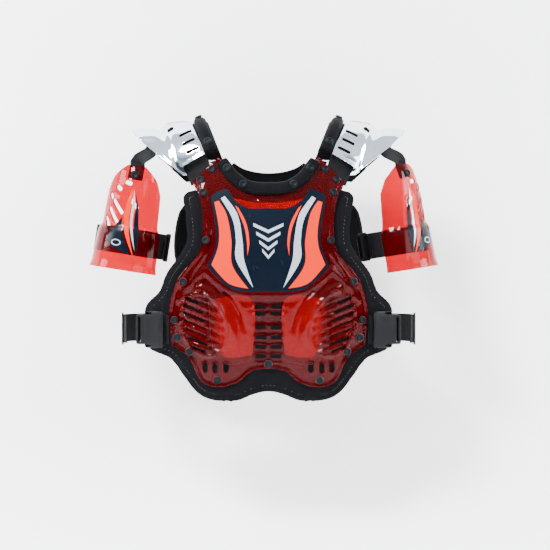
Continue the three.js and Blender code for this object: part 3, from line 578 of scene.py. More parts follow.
linerSides = [
    (0.503, 0.006, 1), (0.591, 0.021, 1), (0.526, 0.107, 1), (0.784, 0.152, 1),
    (0.842, 0.175), (0.819, 0.248), (0.801, 0.353), (0.86, 0.416), (1.012, 0.507), (1.088, 0.585),
    (1.216, 0.64), (1.246, 0.678, 1), (1.24, 0.804, 1), (1.17, 0.839), (0.982, 0.872),
    (0.839, 0.952), (0.719, 1.018), (0.573, 1.05), (0.339, 1.054), (0.143, 1.023), (0, 1.011)]
upperWindow = [
    (0, 0.172), (0.234, 0.165), (0.4, 0.152), (0.52, 0.17), (0.538, 0.3), (0.585, 0.414),
    (0.6, 0.477), (0.41, 0.552), (0, 0.562)]
lowerWindow = [
    (0.164, 0.618), (0.556, 0.618), (0.59, 0.678), (0.567, 0.804), (0.491, 0.892), (0.263, 0.892),
    (0.164, 0.854)]


def linerWindows():
    upper = smoothLoop(bothSides(chestRows(upperWindow)))
    return [upper] + [smoothLoop(chestRows(lowerWindow, side)) for _, side in sides]


liner = {"wall": 0.0056, "ease": 0.0002, "puff": 0.0024, "stitchInset": 0.0075, "stitch": 0.0034,
         "stitchStep": 0.0052, "thread": 0.0005}


def makeLiner(name, node, rows, half, cover):
    # foam with a soft crown where it shows past the shell, and a line of stitches round its rim
    outer = smoothLoop(bothSides(chestRows(rows)), 0.003)
    rim, coverEdge = outlineTree(outer), outlineTree(cover)

    def puff(x, z):
        if insideLoop(cover, x, z):
            return 0
        free = smoothStep(0.0015, 0.007, coverEdge.find((x, z, 0))[2])
        edge = rim.find((x, z, 0))[2]
        seam = 0.5 * math.exp(-((edge - liner["stitchInset"]) / 0.0022) ** 2)
        return liner["puff"] * free * (smoothStep(0, 0.005, edge) - seam)

    sheetPiece(name, "black_foam", [node], outer, linerWindows(), grid["soft"],
               chestSurface(half, liner["ease"], puff), torsoCentre,
               wall=liner["wall"], bevel=0.0022, segments=4, soft=0.8)
    makeStitches(f"{name}Stitches", outer, cover, chestSurface(half, liner["wall"] + 3 * liner["ease"], puff))


def makeStitches(name, outer, cover, surfaceAt):
    bm = bmesh.new()
    run = 0
    for i, here in enumerate(outer):
        after = outer[(i + 1) % len(outer)]
        run += (after - here).length
        if run < liner["stitchStep"]:
            continue
        run = 0
        along = (after - outer[i - 1]).normalized()
        inward = Vector((-along.y, along.x))
        if not insideLoop(outer, *(here + inward * 0.002)):
            inward = -inward
        place = here + inward * liner["stitchInset"]
        if insideLoop(cover, *place):
            continue
        ends = [surfaceAt(*(place + along * liner["stitch"] / 2 * sign)) for sign in (-1, 1)]
        middle, span = (ends[0] + ends[1]) / 2, ends[1] - ends[0]
        turn = span.to_track_quat("X", "Y").to_matrix().to_4x4()
        stretch = Matrix.Diagonal((span.length / 2, liner["thread"], liner["thread"], 1))
        matrix = Matrix.Translation(middle) @ turn @ stretch
        bmesh.ops.create_icosphere(bm, subdivisions=1, radius=1, matrix=matrix)
    addPiece(name, bm, "thread", sharp=180)


backNeck = [(0, 0.064), (0.15, 0.059), (0.28, 0.045), (0.36, 0.028), (0.425, 0.008)]
backPlateSides = [
    (0.512, 0, 1), (0.766, 0.107, 1), (0.819, 0.225), (0.854, 0.351), (0.83, 0.477),
    (0.848, 0.602), (0.94, 0.678), (0.93, 0.804), (0.76, 0.879), (0.468, 0.917), (0, 0.917)]
backLinerSides = [
    (0.503, 0.006, 1), (0.591, 0.021, 1), (0.526, 0.107, 1), (0.784, 0.152, 1),
    (0.848, 0.17), (0.953, 0.225), (1.003, 0.336), (1, 0.424), (0.962, 0.487), (0.96, 0.577),
    (1.111, 0.665, 1), (1.123, 0.816, 1), (0.965, 0.879), (0.702, 0.955), (0.351, 0.98), (0, 0.98)]


roll = {"width": 0.022, "height": 0.011, "around": 20, "clear": 0.0008, "drop": 1.26}


def backEdge():
    # the back shell ends below its collar roll
    drop = (roll["height"] + roll["clear"]) * roll["drop"] / plate["height"]
    return [(across, down + drop) for across, down in backNeck]


backRelief = {"border": 0.0012, "flute": 0.0016, "spacing": 0.052}


def makeBack():
    outer = smoothLoop(bothSides(chestRows(backEdge() + backPlateSides)))
    rim = outlineTree(outer)

    def ribs(x, z):
        # shallow upright flutes and a raised border stiffen the back shell
        edge = rim.find((x, z, 0))[2]
        border = backRelief["border"] * (1 - smoothStep(0.002, 0.006, edge))
        wave = max(0, math.cos(2 * math.pi * x / backRelief["spacing"])) ** 3
        return border + backRelief["flute"] * smoothStep(0.02, 0.04, edge) * wave

    sheetPiece("backPlate", "red_shell", ["back_plate"], outer, [], grid["plain"],
               chestSurface(1, layers["plate"], ribs), torsoCentre,
               wall=plate["wall"] - thinner, bevel=0.0005)
    makeLiner("backLiner", "back_liner", backEdge() + backLinerSides, 1, outer)


def makeChestLiner():
    makeLiner("chestLiner", "chest_liner", frontNeck + linerSides, -1, plateOutline)


# the print on the chest: a plain layout of coloured fields
graphicSides = [
    (0, 0.224), (0.193, 0.224), (0.333, 0.19), (0.421, 0.14), (0.556, 0.16, 1), (0.585, 0.17, 1),
    (0.526, 0.311), (0.532, 0.391), (0.614, 0.472, 1), (0.409, 0.562), (0.24, 0.582), (0, 0.582)]
printFields = {
    "orangeField": ("decal_orange", 1, [
        (0.5, 0.19, 1), (0.545, 0.196, 1), (0.497, 0.311), (0.505, 0.391), (0.573, 0.468, 1), (0.4, 0.548),
        (0.2, 0.571, 1), (0.36, 0.47), (0.37, 0.36), (0.42, 0.25)]),
    "silverBlade": ("decal_silver", 2, [
        (0.44, 0.17, 1), (0.478, 0.18, 1), (0.36, 0.27), (0.325, 0.36), (0.32, 0.45), (0.15, 0.568, 1),
        (0.24, 0.45), (0.26, 0.36), (0.31, 0.25)]),
    "orangeBlade": ("decal_orange", 2, [
        (0.3, 0.222, 1), (0.335, 0.21, 1), (0.245, 0.3), (0.215, 0.37), (0.21, 0.43, 1), (0.19, 0.37),
        (0.22, 0.29)]),
}
printBars = [(0.288, 0.15), (0.325, 0.12), (0.362, 0.09), (0.399, 0.06)]
chevron = {"drop": 0.03, "thick": 0.014}
film = {"seat": -0.0002, "panel": 0.0004, "wall": 0.0001, "level": 0.00015}


def makeGraphic():
    base = layers["onPlate"] + layers["gap"] + film["seat"]

    def printPiece(name, look, nodes, loop, lift, wall=film["wall"]):
        sheetPiece(name, look, nodes, loop, [], grid["print"], chestSurface(-1, base + lift, plateRelief),
                   torsoCentre, wall=wall)

    outer = smoothLoop(bothSides(chestRows(graphicSides)), 0.003)
    printPiece("chestGraphic", "decal_navy", ["chest_graphic"], outer, -film["panel"], film["panel"])
    for name, (look, level, rows) in printFields.items():
        for label, side in sides:
            loop = smoothLoop(chestRows(rows, side), 0.003)
            printPiece(joined(label, name), look, (), loop, film["level"] * level)
    low, thick = chevron["drop"], chevron["thick"]
    for count, (down, reach) in enumerate(printBars):
        rows = [(-reach, down), (0, down + low), (reach, down),
                (reach, down + thick), (0, down + low + thick), (-reach, down + thick)]
        loop = [Vector(chestPlace(*row)) for row in rows]
        printPiece(f"chevron{count + 1}", "decal_silver", (), loop, 2 * film["level"])


makeChestPlate()
makeChestLiner()
makeBack()
makeGraphic()
print("chest and back made")

# padded rolls: a crowned section swept along a route

def padShape(turn):
    # flat back, rounded front: share of width, share of height
    across, out = -0.5 * math.cos(turn), math.sin(turn)
    return (across * 0.97, 0.0) if out < 0 else (across, out ** 0.8)


def makeRoll(name, node, count, pointAt):
    bm = bmesh.new()
    bm.loops.layers.uv.new("flat")
    bmesh.ops.create_grid(bm, x_segments=count, y_segments=roll["around"], size=0.5, calc_uvs=True)
    for v in bm.verts:
        along, turn = v.co.x + 0.5, (v.co.y + 0.5) * 2 * math.pi
        end = min(along, 1 - along) * count / 2.5
        cap = math.sqrt(max(0.0, 1 - (1 - min(end, 1)) ** 2)) * 0.55 + 0.45 * smoothStep(0, 0.15, end)
        across, out = padShape(turn)
        v.co = pointAt(along, across * cap, 0.5 + (out - 0.5) * cap if out > 0 else 0.5 - 0.5 * cap)
    bmesh.ops.remove_doubles(bm, verts=bm.verts[:], dist=1e-5)
    bmesh.ops.recalc_face_normals(bm, faces=bm.faces[:])
    addPiece(name, bm, "black_foam", [node], soft=0.9, sharp=60)


def collarRoute(rows):
    side = [Vector(chestPlace(*row)) for row in rows]
    points = [Vector((-p.x, p.y)) for p in reversed(side[1:])] + side
    return smoothRun(points, 0.002) + [points[-1]]


def routePlace(fine, along):
    at = along * (len(fine) - 1)
    i = min(int(at), len(fine) - 2)
    here = fine[i].lerp(fine[i + 1], at - i)
    low, high = fine[max(i - 2, 0)], fine[min(i + 3, len(fine) - 1)]
    return here, (high - low).normalized()


def collarRoll(name, node, rows, half, base, height):
    fine = collarRoute(rows)

    def pointAt(along, across, out):
        here, tangent = routePlace(fine, along)
        x = here.x - tangent.y * across * roll["width"]
        z = here.y + tangent.x * across * roll["width"]
        return Vector((x, half * layerDepth(x, z, base + out * height), z))

    makeRoll(name, node, 70, pointAt)


collarRoll("frontCollarRoll", "front_collar_roll", frontNeck, -1,
           layers["onPlate"] + layers["gap"], roll["height"])
collarRoll("backCollarRoll", "back_collar_roll", backNeck, 1, -0.003, 0.017)

# shoulder pieces: u runs out along the shoulder, angle turns over it from front to back
cup = {"originX": 0.110, "originZ": -0.055, "lean": math.radians(22), "span": 0.108, "height": 0.0954}
cup["spring"] = -0.18 * cup["height"]
crestRows = [
    (-0.25, 0.67), (0, 0.713), (0.046, 0.786), (0.25, 0.86), (0.435, 0.896), (0.556, 0.845), (0.722, 0.922),
    (0.861, 0.985), (1.02, 1.01)]
cupOutline = [
    (0, 0, 1), (0.398, -0.066, 1), (0.389, -0.241, 1), (0.472, -0.184, 1), (0.56, 0), (0.731, 0.351),
    (0.861, 0.618), (0.963, 0.891), (1, 1, 1)]
cupLinerOutline = [
    (-0.23, -0.05, 1), (0, 0.04, 1), (0.37, -0.02, 1), (0.39, -0.225, 1), (0.487, -0.2, 1), (0.58, 0.01),
    (0.63, 0.12, 1), (0.56, 0.36, 1), (0.68, 0.6), (0.8, 0.86), (0.9, 0.98, 1)]
cupHoles = [
    (0.156, 0.151, 0.024, 0.005, -4), (0.169, 0.326, 0.024, 0.005, -4), (0.172, 0.497, 0.024, 0.005, -4),
    (0.38, 0.694, 0.013, 0.008, 0)]
cupShape = {"wing": 0.0035, "fold": 0.002, "lip": 0.0016, "wall": 0.0024, "linerWall": 0.0052,
            "printReach": 0.26, "rollReach": 78}
crestPrints = [("crestNavy", "decal_navy", 0.08, 0.27), ("crestOrange", "decal_orange", 0.29, 0.4)]
shoulderBand = {"from": 0.0005, "to": 0.0425, "hem": 0.032, "lift": 0.0032, "wall": 0.002}
crestTable = [(p.x, p.y) for p in smoothRun([Vector(row) for row in crestRows], 0.02)]


def crestHeight(u):
    return rowValue(crestTable, u / cup["span"]) * cup["height"]


def cupPlace(side, u, w):
    x = side * (cup["originX"] + u * math.cos(cup["lean"]) + w * math.sin(cup["lean"]))
    return x, cup["originZ"] - u * math.sin(cup["lean"]) + w * math.cos(cup["lean"])


def shoulderPoint(side, u, angle, offset):
    height = crestHeight(u) - layers["onCup"] - cup["spring"]
    springX, springZ = cupPlace(side, u, cup["spring"])
    depth = layerDepth(springX, springZ, 0)
    over = min(abs(angle), math.pi / 2)
    below = (abs(angle) - over) * height
    x, z = cupPlace(side, u, cup["spring"] + (height + offset) * math.cos(over) - below)
    deep = layerDepth(x, z, 0) + offset if below > 0 else (depth + offset) * math.sin(over)
    return Vector((x, -math.copysign(deep, angle), z))


archRadius = 0.085  # scale of the angle in the flat sheet
rollMiddle = -roll["width"] / 2 - 0.0016


def archPlace(u, w, offset):
    # a front view place as (u, angle times radius) on the arch
    height = crestHeight(u) - layers["onCup"] - cup["spring"]
    rise = (w - cup["spring"]) / (height + offset)
    angle = math.acos(min(max(rise, 0), 1)) if rise > 0 else math.pi / 2 - rise
    return Vector((u, angle * archRadius))


def archLoop(rows, offset):
    flat = cornerRun([(row[0] * cup["span"], row[1] * cup["height"], len(row) > 2) for row in rows])
    front = [archPlace(p.x, p.y, offset) for p in flat]
    back = [Vector((p.x, -p.y)) for p in reversed(front)]
    return front + back


def cornerRun(rows, spacing=0.004):
    # smooth between its corners, and straight where two corners follow each other
    run, stretch = [], []
    for x, z, corner in rows:
        stretch.append(Vector((x, z)))
        if corner and len(stretch) > 1:
            if len(stretch) == 2:
                steps = max(1, round((stretch[1] - stretch[0]).length / spacing))
                run += [stretch[0].lerp(stretch[1], k / steps) for k in range(steps)]
            else:
                run += smoothRun(stretch, spacing)
            stretch = [stretch[-1]]
    return run + [stretch[-1]]


def cupRelief(u, angle):
    # pressed shapes of the cup: a fold line and a raised outer wing; the raised lip along its edges is added
    # in onCup
    share = u / cup["span"]
    turn = abs(angle)
    wing = smoothStep(0.58, 0.66, share) * (1 - smoothStep(0.93, 1.0, share))
    wing *= smoothStep(0.05, 0.2, turn) * (1 - smoothStep(0.62, 0.8, turn))
    fold = 1 - smoothStep(0, 0.06, abs(share - 0.36 - 0.1 * turn))
    return cupShape["wing"] * wing - cupShape["fold"] * fold * smoothStep(0.2, 0.5, turn)


def makeShoulder(name, side):
    centre = Vector((side * 0.17, 0, -0.09))
    slots = []
    for u, w, length, width, turn in cupHoles:
        flat = slotLoop(u * cup["span"], w * cup["height"], length, width, math.radians(turn))
        slots.append([archPlace(p.x, p.y, layers["cup"]) for p in flat])
    outline = archLoop(cupOutline, layers["cup"])
    rim = outlineTree(outline)

    def onCup(u, s, offset=0.0):
        lip = cupShape["lip"] * (1 - smoothStep(0.0012, 0.0048, rim.find((u, s, 0))[2]))
        angle = s / archRadius
        return shoulderPoint(side, u, angle, layers["cup"] + cupRelief(u, angle) + lip + offset)

    def lifted(offset):
        return lambda u, s: shoulderPoint(side, u, s / archRadius, offset)

    sheetPiece(f"{name}Cup", "chrome_shell", [f"{name}_shoulder_cup"], outline, slots, grid["cup"], onCup,
               centre, wall=cupShape["wall"], bevel=0.0006, segments=3)
    reach = cupShape["printReach"] * archRadius
    for label, look, low, high in crestPrints:
        corners = rectangle(low * cup["span"], high * cup["span"], -reach, reach)
        sheetPiece(joined(name, label), look, (), corners, [], grid["crest"],
                   lambda u, s: onCup(u, s, cupShape["wall"] + 0.0001), centre, wall=0.0002)

    sheetPiece(f"{name}CupLiner", "black_foam", [f"{name}_cup_liner"],
               archLoop(cupLinerOutline, layers["cupLiner"]), [], grid["coarse"],
               lifted(layers["cupLiner"]), centre,
               wall=cupShape["linerWall"], bevel=0.0018, segments=3, soft=0.8)
    hem = (math.pi / 2 + shoulderBand["hem"] / (cup["height"] - cup["spring"])) * archRadius
    sheetPiece(f"{name}ShoulderBand", "black_webbing", [f"{name}_shoulder_band"],
               rectangle(shoulderBand["from"], shoulderBand["to"], hem, -hem), [], grid["soft"],
               lifted(shoulderBand["lift"]), centre, wall=shoulderBand["wall"], bevel=0.0005)

    reach = math.radians(cupShape["rollReach"])
    base = layers["cup"] + roll["clear"]

    def pointAt(along, across, out):
        u = rollMiddle + across * roll["width"]
        return shoulderPoint(side, u, (2 * along - 1) * reach, base + out * roll["height"])

    makeRoll(f"{name}CupRoll", f"{name}_cup_roll", 80, pointAt)


for sideName, sideSign in sides:
    makeShoulder(sideName, sideSign)
print("shoulders made")

# arm guards
guardStuds = []
arm = {"length": 0.186, "radius": 0.052, "wrap": math.radians(75), "wall": 0.003, "top": -0.072, "tilt": 9}
armSet = {"left": {"x": 0.230, "yaw": 4}, "right": {"x": 0.213, "yaw": 40}}
guardWrap = [(0, 0.3), (0.05, 0.5), (0.12, 0.72), (0.25, 0.9), (0.5, 0.96), (0.62, 1), (1, 0.95)]
guardRadius = [(0, 0.8), (0.08, 0.9), (0.25, 0.98), (0.5, 1), (0.58, 1.02), (0.66, 1.12), (1, 1.2)]
guardCuts = [
    (-10, 0.17, 0.014, 0.007, 10), (-29, 0.23, 0.014, 0.007, 30), (-45, 0.315, 0.014, 0.007, 50),
    (-25, 0.405, 0.034, 0.0065, 45), (-33, 0.49, 0.036, 0.0065, 47), (-42, 0.575, 0.034, 0.0065, 50),
    (8, 0.36, 0.024, 0.006, 45)]
band = {"width": 0.046, "wall": 0.0024, "bulge": 0.025, "down": 0.72}
guardRows = 60  # points down each edge of the guard
guardRelief = {"lip": 0.0012, "ridge": 0.0022, "rim": 0.002}
slider = {"height": 0.054, "width": 0.024, "slot": 0.044, "slotWidth": 0.006, "apart": 0.0055, "wall": 0.0028}
radiusFine = [(p.x, p.y) for p in smoothRun([Vector(row) for row in guardRadius], 0.02)] + [(1, 1.2)]


def armMatrix(name, side):
    turn = Matrix.Rotation(math.radians(side * armSet[name]["yaw"]), 4, "Z")
    tilt = Matrix.Rotation(math.radians(-side * arm["tilt"]), 4, "Y")
    return Matrix.Translation((side * armSet[name]["x"], 0, arm["top"])) @ tilt @ turn


def guardPoint(side, angle, down, offset):
    radius = arm["radius"] * rowValue(radiusFine, down) + offset
    return Vector((-side * radius * math.sin(angle), -radius * math.cos(angle), -down * arm["length"]))


def bandRadius(angle):
    inside = arm["radius"] * rowValue(guardRadius, band["down"] - 0.14) - arm["wall"] - band["wall"]
    clear = arm["wrap"] + math.radians(4)
    out = smoothStep(clear, clear + 0.75, abs(angle))
    behind = smoothStep(clear + 0.6, math.pi, abs(angle))
    return inside + band["bulge"] * out - (band["bulge"] - 0.004) * behind


guardPrint = {
    "guardField": ("decal_navy", 0, [
        (-30, 0.665, 1), (-10, 0.5, 1), (-8, 0.6), (0, 0.7), (13, 0.845, 1), (-10, 0.805), (-28, 0.745, 1)]),
    "guardOrange": ("decal_orange", 1, [
        (2, 0.2, 1), (-5, 0.34), (-7, 0.48), (-2, 0.62), (8, 0.75), (19, 0.87, 1), (11, 0.73), (5, 0.6),
        (2, 0.48), (3, 0.34)]),
    "guardSilver": ("decal_silver", 1, [
        (4, 0.23, 1), (9, 0.36), (9, 0.5), (12, 0.62), (19, 0.8, 1), (10, 0.66), (5, 0.52), (4.4, 0.36)]),
    "guardNavy": ("decal_navy", 1, [
        (7, 0.25, 1), (15, 0.38), (19, 0.5), (23, 0.66), (21, 0.84, 1), (16, 0.68), (12, 0.52),
        (11.4, 0.38)]),
}
guardBadge = {"s": -0.0115, "down": 0.745, "points": 28,
              "rings": (("decal_silver", 0.0078, 0.0056), ("decal_navy", 0.0062, 0.004))}


def printGuard(name, surfaceAt, axis):
    # a plain print and an empty oval badge on the arm guard
    for label, (look, level, rows) in guardPrint.items():
        places = [(s / 1000, -down * arm["length"], len(more) > 0) for s, down, *more in rows]
        loop = smoothLoop(places, 0.003)
        sheetPiece(joined(name, label), look, (), loop, [], grid["plain"],
                   lambda s, h: surfaceAt(s, h, 0.0028 + 0.0002 * level), axis, wall=0.00012)
    middle, count = -guardBadge["down"] * arm["length"], guardBadge["points"]
    for level, (look, wide, high) in enumerate(guardBadge["rings"]):
        turns = [2 * math.pi * k / count for k in range(count)]
        loop = [Vector((guardBadge["s"] + wide * math.cos(a), middle + high * math.sin(a))) for a in turns]
        sheetPiece(f"{name}GuardBadge{level + 1}", look, (), loop, [], grid["plain"],
                   lambda s, h: surfaceAt(s, h, 0.00325 + 0.0002 * level), axis, wall=0.00012)


def makeArm(name, side):
    matrix = armMatrix(name, side)
    axis = matrix @ Vector((0, 0.01, -0.1))
    size = arm["radius"]
    edge = []
    for i in range(guardRows + 1):
        down = i / guardRows
        edge.append(Vector((arm["wrap"] * rowValue(guardWrap, down) * size, -down * arm["length"])))
    outline = edge + [Vector((-p.x, p.y)) for p in reversed(edge)]
    cuts = [(math.radians(angle) * size, -down * arm["length"], length, width, -math.radians(turn))
            for angle, down, length, width, turn in guardCuts]

    def surface(s, h, offset=0.0):
        near = min(slotDistance(s, h, slot) for slot in cuts)
        lip = guardRelief["lip"] * (1 - smoothStep(0.3, 1, near / 0.0035))
        down = -h / arm["length"]
        ridge = math.exp(-((s - 0.012 - 0.03 * down) / 0.006) ** 2) * smoothStep(0.1, 0.3, down)
        raised = lip + guardRelief["ridge"] * ridge + guardRelief["rim"] * smoothStep(0.93, 1.0, down)
        return matrix @ guardPoint(side, s / size, down, raised - arm["wall"] + offset)

    holes = [slotLoop(*slot) for slot in cuts]
    sheetPiece(f"{name}ArmGuard", "red_shell", [f"{name}_arm_guard"], outline, holes, grid["print"], surface,
               axis, wall=arm["wall"] - thinner, bevel=0.0006, segments=3)
    printGuard(name, surface, axis)

    def bandPoint(angle, rise, offset):
        radius = bandRadius(angle) + offset
        return matrix @ Vector((-radius * math.sin(angle), -radius * math.cos(angle),
                                -band["down"] * arm["length"] + rise * band["width"]))

    girth, half = 0.2, 0.5 * band["width"]
    bm = flatSheet(rectangle(-girth, girth, -half, half), [], grid["soft"])
    laySheet(bm, lambda s, r: bandPoint(s / girth * math.pi, r / band["width"], 0), axis)
    bmesh.ops.remove_doubles(bm, verts=bm.verts[:], dist=1e-5)
    addPiece(f"{name}ArmBand", bm, "black_webbing", [f"{name}_arm_band"], wall=band["wall"], bevel=0.0005)

    at = side * (arm["wrap"] + math.radians(33))
    scale = bandRadius(at)
    outer = slotLoop(0, 0, slider["height"], slider["width"], math.pi / 2, 3)
    holes = [slotLoop(x, 0, slider["slot"], slider["slotWidth"], math.pi / 2, 2)
             for x in (-slider["apart"], slider["apart"])]
    sheetPiece(f"{name}ArmSlider", "black_plastic", [f"{name}_arm_slider"], outer, holes, grid["coarse"],
               lambda s, r: bandPoint(at + s / scale, r / band["width"], band["wall"] + 0.0006), axis,
               wall=slider["wall"], bevel=0.0008)
    seat = matrix @ guardPoint(side, 0, 0.085, 0.0001)
    out = (matrix.to_3x3() @ Vector((0, -1, 0.12))).normalized()
    guardStuds.append((f"{name}StudHanger", seat, out))
    return matrix


hanger = {"width": 0.026, "wall": 0.0018, "shown": 0.0016, "ease": 0.0034, "tuck": 0.0016, "step": 0.003}


def makeHanger(name, side, matrix):
    # from under the cup into the head of the guard
    places = [shoulderPoint(side, u * cup["span"], math.radians(degrees),
                            layers["cup"] - hanger["wall"] - hanger["tuck"])
              for u, degrees in ((0.74, 46), (0.8, 54))]
    inside = -arm["wall"] - layers["gap"] - hanger["wall"] / 2 - hanger["ease"]
    places += [matrix @ guardPoint(side, 0, down, inside) for down in (-0.06, 0, 0.13)]
    route = smoothRun(places, hanger["step"]) + [places[-1]]
    fromCup = Vector((side * 0.3, -1, 0.45)).normalized()
    fromGuard = (matrix.to_3x3() @ Vector((0, -1, 0.1))).normalized()
    length, half = hanger["step"] * (len(route) - 1), hanger["width"] / 2

    def surface(s, r):
        at = min(max(s / hanger["step"], 0), len(route) - 1.001)
        i = int(at)
        along = (route[min(i + 2, len(route) - 1)] - route[max(i - 1, 0)]).normalized()
        out = fromCup.lerp(fromGuard, min(1, 1.4 * s / length))
        across = along.cross(out).normalized()
        lift = across.cross(along).normalized() * hanger["shown"] / 2
        return route[i].lerp(route[i + 1], at - i) + across * r + lift

    behind = route[len(route) // 2] + Vector((0, 0.05, -0.02))
    sheetPiece(f"{name}ArmHanger", "black_webbing", [f"{name}_arm_hanger"],
               rectangle(0, length, -half, half), [], hanger["step"], surface, behind,
               wall=-hanger["shown"], bevel=0.0004)


for sideName, sideSign in sides:
    makeHanger(sideName, sideSign, makeArm(sideName, sideSign))
print("arms made")

# waist buckles and straps
buckle = {"length": 0.054, "height": 0.062, "thick": 0.011, "yaw": 30, "x": 0.207, "y": 0.080, "z": -0.359,
          "tongue": 0.34, "round": 0.006, "seam": 0.0002, "narrow": 0.005, "tongueRound": 0.004}
strap = {"width": 0.050, "wall": 0.0018, "from": -0.335, "to": 2.35 - math.pi / 2, "length": 0.26}
strapLift = [(0, 0.022), (0.12, 0.017), (0.3, 0.012), (0.6, 0.009), (0.8, 0.0068), (1, 0.0064)]


def roundedBox(x0, x1, z0, z1, radius, segments=4):
    loop = []
    for x, z, start in ((x1 - radius, z1 - radius, 0), (x0 + radius, z1 - radius, 90),
                        (x0 + radius, z0 + radius, 180), (x1 - radius, z0 + radius, 270)):
        for k in range(segments + 1):
            a = math.radians(start + 90 * k / segments)
            loop.append(Vector((x + radius * math.cos(a), z + radius * math.sin(a))))
    return loop


def girthPoint(side, turn, z, offset):
    depth = torsoDepth(z)
    normal = Vector((depth * math.cos(turn), torso["halfWidth"] * math.sin(turn))).normalized()
    return Vector((side * (torso["halfWidth"] * math.cos(turn) + normal.x * offset),
                   depth * math.sin(turn) + normal.y * offset, z))


def makeBuckle(name, side):
    place = Matrix.Translation((side * buckle["x"], -buckle["y"], buckle["z"]))
    place = place @ Matrix.Rotation(side * math.radians(buckle["yaw"]), 4, "Z")
    halfX, halfZ = buckle["length"] / 2, buckle["height"] / 2
    split = halfX - buckle["length"] * buckle["tongue"]
    behind = place @ Vector((0, 0.05, 0))
    outer = roundedBox(-halfX, split - buckle["seam"], -halfZ, halfZ, buckle["round"])
    catch, high = halfZ - 0.0035, 0.0022
    holes = [roundedBox(split - 0.015, split - 0.003, up * catch - high, up * catch + high, 0.001, 2)
             for up in (-1, 1)]

    def face(x, z):
        crown = 0.0016 * (1 - (z / halfZ) ** 2) - 0.0012 * smoothStep(0.004, 0.0, x + halfX)
        panel = -0.0009 * (1 - smoothStep(0.8, 1.0, max(abs(z) / 0.021, abs(x + 0.007) / 0.011)))
        return place @ Vector((side * x, buckle["thick"] / 2 - 0.0005 - crown - panel, z))

    sheetPiece(f"{name}BuckleBody", "black_plastic", [f"{name}_buckle_body"], outer, holes, grid["plain"],
               face, behind, wall=buckle["thick"] - 0.002, bevel=0.0012, segments=3)
    reach = halfZ - buckle["narrow"]
    outer = roundedBox(split + buckle["seam"], halfX, -reach, reach, buckle["tongueRound"])
    holes = [roundedBox(halfX - 0.010, halfX - 0.005, -halfZ + 0.009, halfZ - 0.009, 0.001, 2)]
    sheetPiece(f"{name}BuckleTongue", "black_plastic", [f"{name}_buckle_tongue"], outer, holes, grid["plain"],
               lambda x, z: place @ Vector((side * x, buckle["thick"] / 2 - 0.0015, z)), behind,
               wall=buckle["thick"] - 0.003, bevel=0.0012, segments=3)


def makeStrap(name, side):
    span = strap["to"] - strap["from"]
    length, half = strap["length"], strap["width"] / 2
    inside = Vector((side * 0.1, 0, buckle["z"]))

    def strapPoint(s, r, offset):
        share = s / length
        lift = rowValue(strapLift, share) + offset
        return girthPoint(side, strap["from"] + span * share, buckle["z"] + r, lift)

    sheetPiece(f"{name}SideStrap", "black_webbing", [f"{name}_side_strap"],
               rectangle(0, length, -half, half), [], grid["soft"],
               lambda s, r: strapPoint(s, r, 0), inside, wall=strap["wall"], bevel=0.0004)
    outer = roundedBox(0.1 * length, 0.17 * length, -half - 0.0035, half + 0.0035, 0.003)
    holes = [roundedBox(0.13 * length - x - 0.0025, 0.13 * length - x + 0.0025, -half, half, 0.001, 2)
             for x in (-0.0055, 0.0035)]
    sheetPiece(f"{name}SideSlider", "black_plastic", [f"{name}_side_slider"], outer, holes, grid["coarse"],
               lambda s, r: strapPoint(s, r, strap["wall"] + layers["gap"]), inside,
               wall=0.0025, bevel=0.0008)
    tabFrom = 1.012 * plate["halfWidth"]
    tabTo = buckle["x"] - buckle["length"] / 2 * math.cos(math.radians(buckle["yaw"])) - 0.0032

    def tabPoint(x, r):
        z = buckle["z"] + r
        return Vector((side * x, -layerDepth(x, z, layers["plate"]), z))

    sheetPiece(f"{name}SideTab", "black_webbing", [f"{name}_side_tab"],
               rectangle(tabFrom, tabTo, -half, half), [], grid["plain"], tabPoint, inside,
               wall=strap["wall"], bevel=0.0004)


for sideName, sideSign in sides:
    makeBuckle(sideName, sideSign)
    makeStrap(sideName, sideSign)
print("buckles and straps made")

# press studs: a spun cap with a rim and a hollow, set where the solid stud is
stud = {"radius": 0.0068, "steps": 28, "sink": 0.0022, "lift": 0.0016, "reach": 0.005}
studProfile = [
    (0, 0.0023), (0.45, 0.0023), (0.58, 0.0031), (0.8, 0.0032), (0.95, 0.0022), (1, 0.0008), (1, 0), (0, 0)]


def makeStud(name, node, place, normal):
    bm = bmesh.new()
    verts = [bm.verts.new((out * stud["radius"], 0, up)) for out, up in studProfile]
    edges = [bm.edges.new(pair) for pair in zip(verts, verts[1:])]
    bmesh.ops.spin(bm, geom=verts + edges, axis=(0, 0, 1), cent=(0, 0, 0), steps=stud["steps"],
                   angle=2 * math.pi, use_merge=True)
    bmesh.ops.remove_doubles(bm, verts=bm.verts[:], dist=1e-6)
    bmesh.ops.recalc_face_normals(bm, faces=bm.faces[:])
    turn = normal.to_track_quat("Z", "Y").to_matrix().to_4x4()
    bmesh.ops.transform(bm, matrix=Matrix.Translation(place) @ turn, verts=bm.verts[:])
    addPiece(name, bm, "snap_metal", [node] if node else (), sharp=50)


def chestNormal(x, z):
    step, level = 0.004, 0.01
    alongX = Vector((2 * step, layerDepth(x - step, z, level) - layerDepth(x + step, z, level), 0))
    alongZ = Vector((0, layerDepth(x, z - step, level) - layerDepth(x, z + step, level), 2 * step))
    normal = alongX.cross(alongZ).normalized()
    return normal if normal.y < 0 else -normal


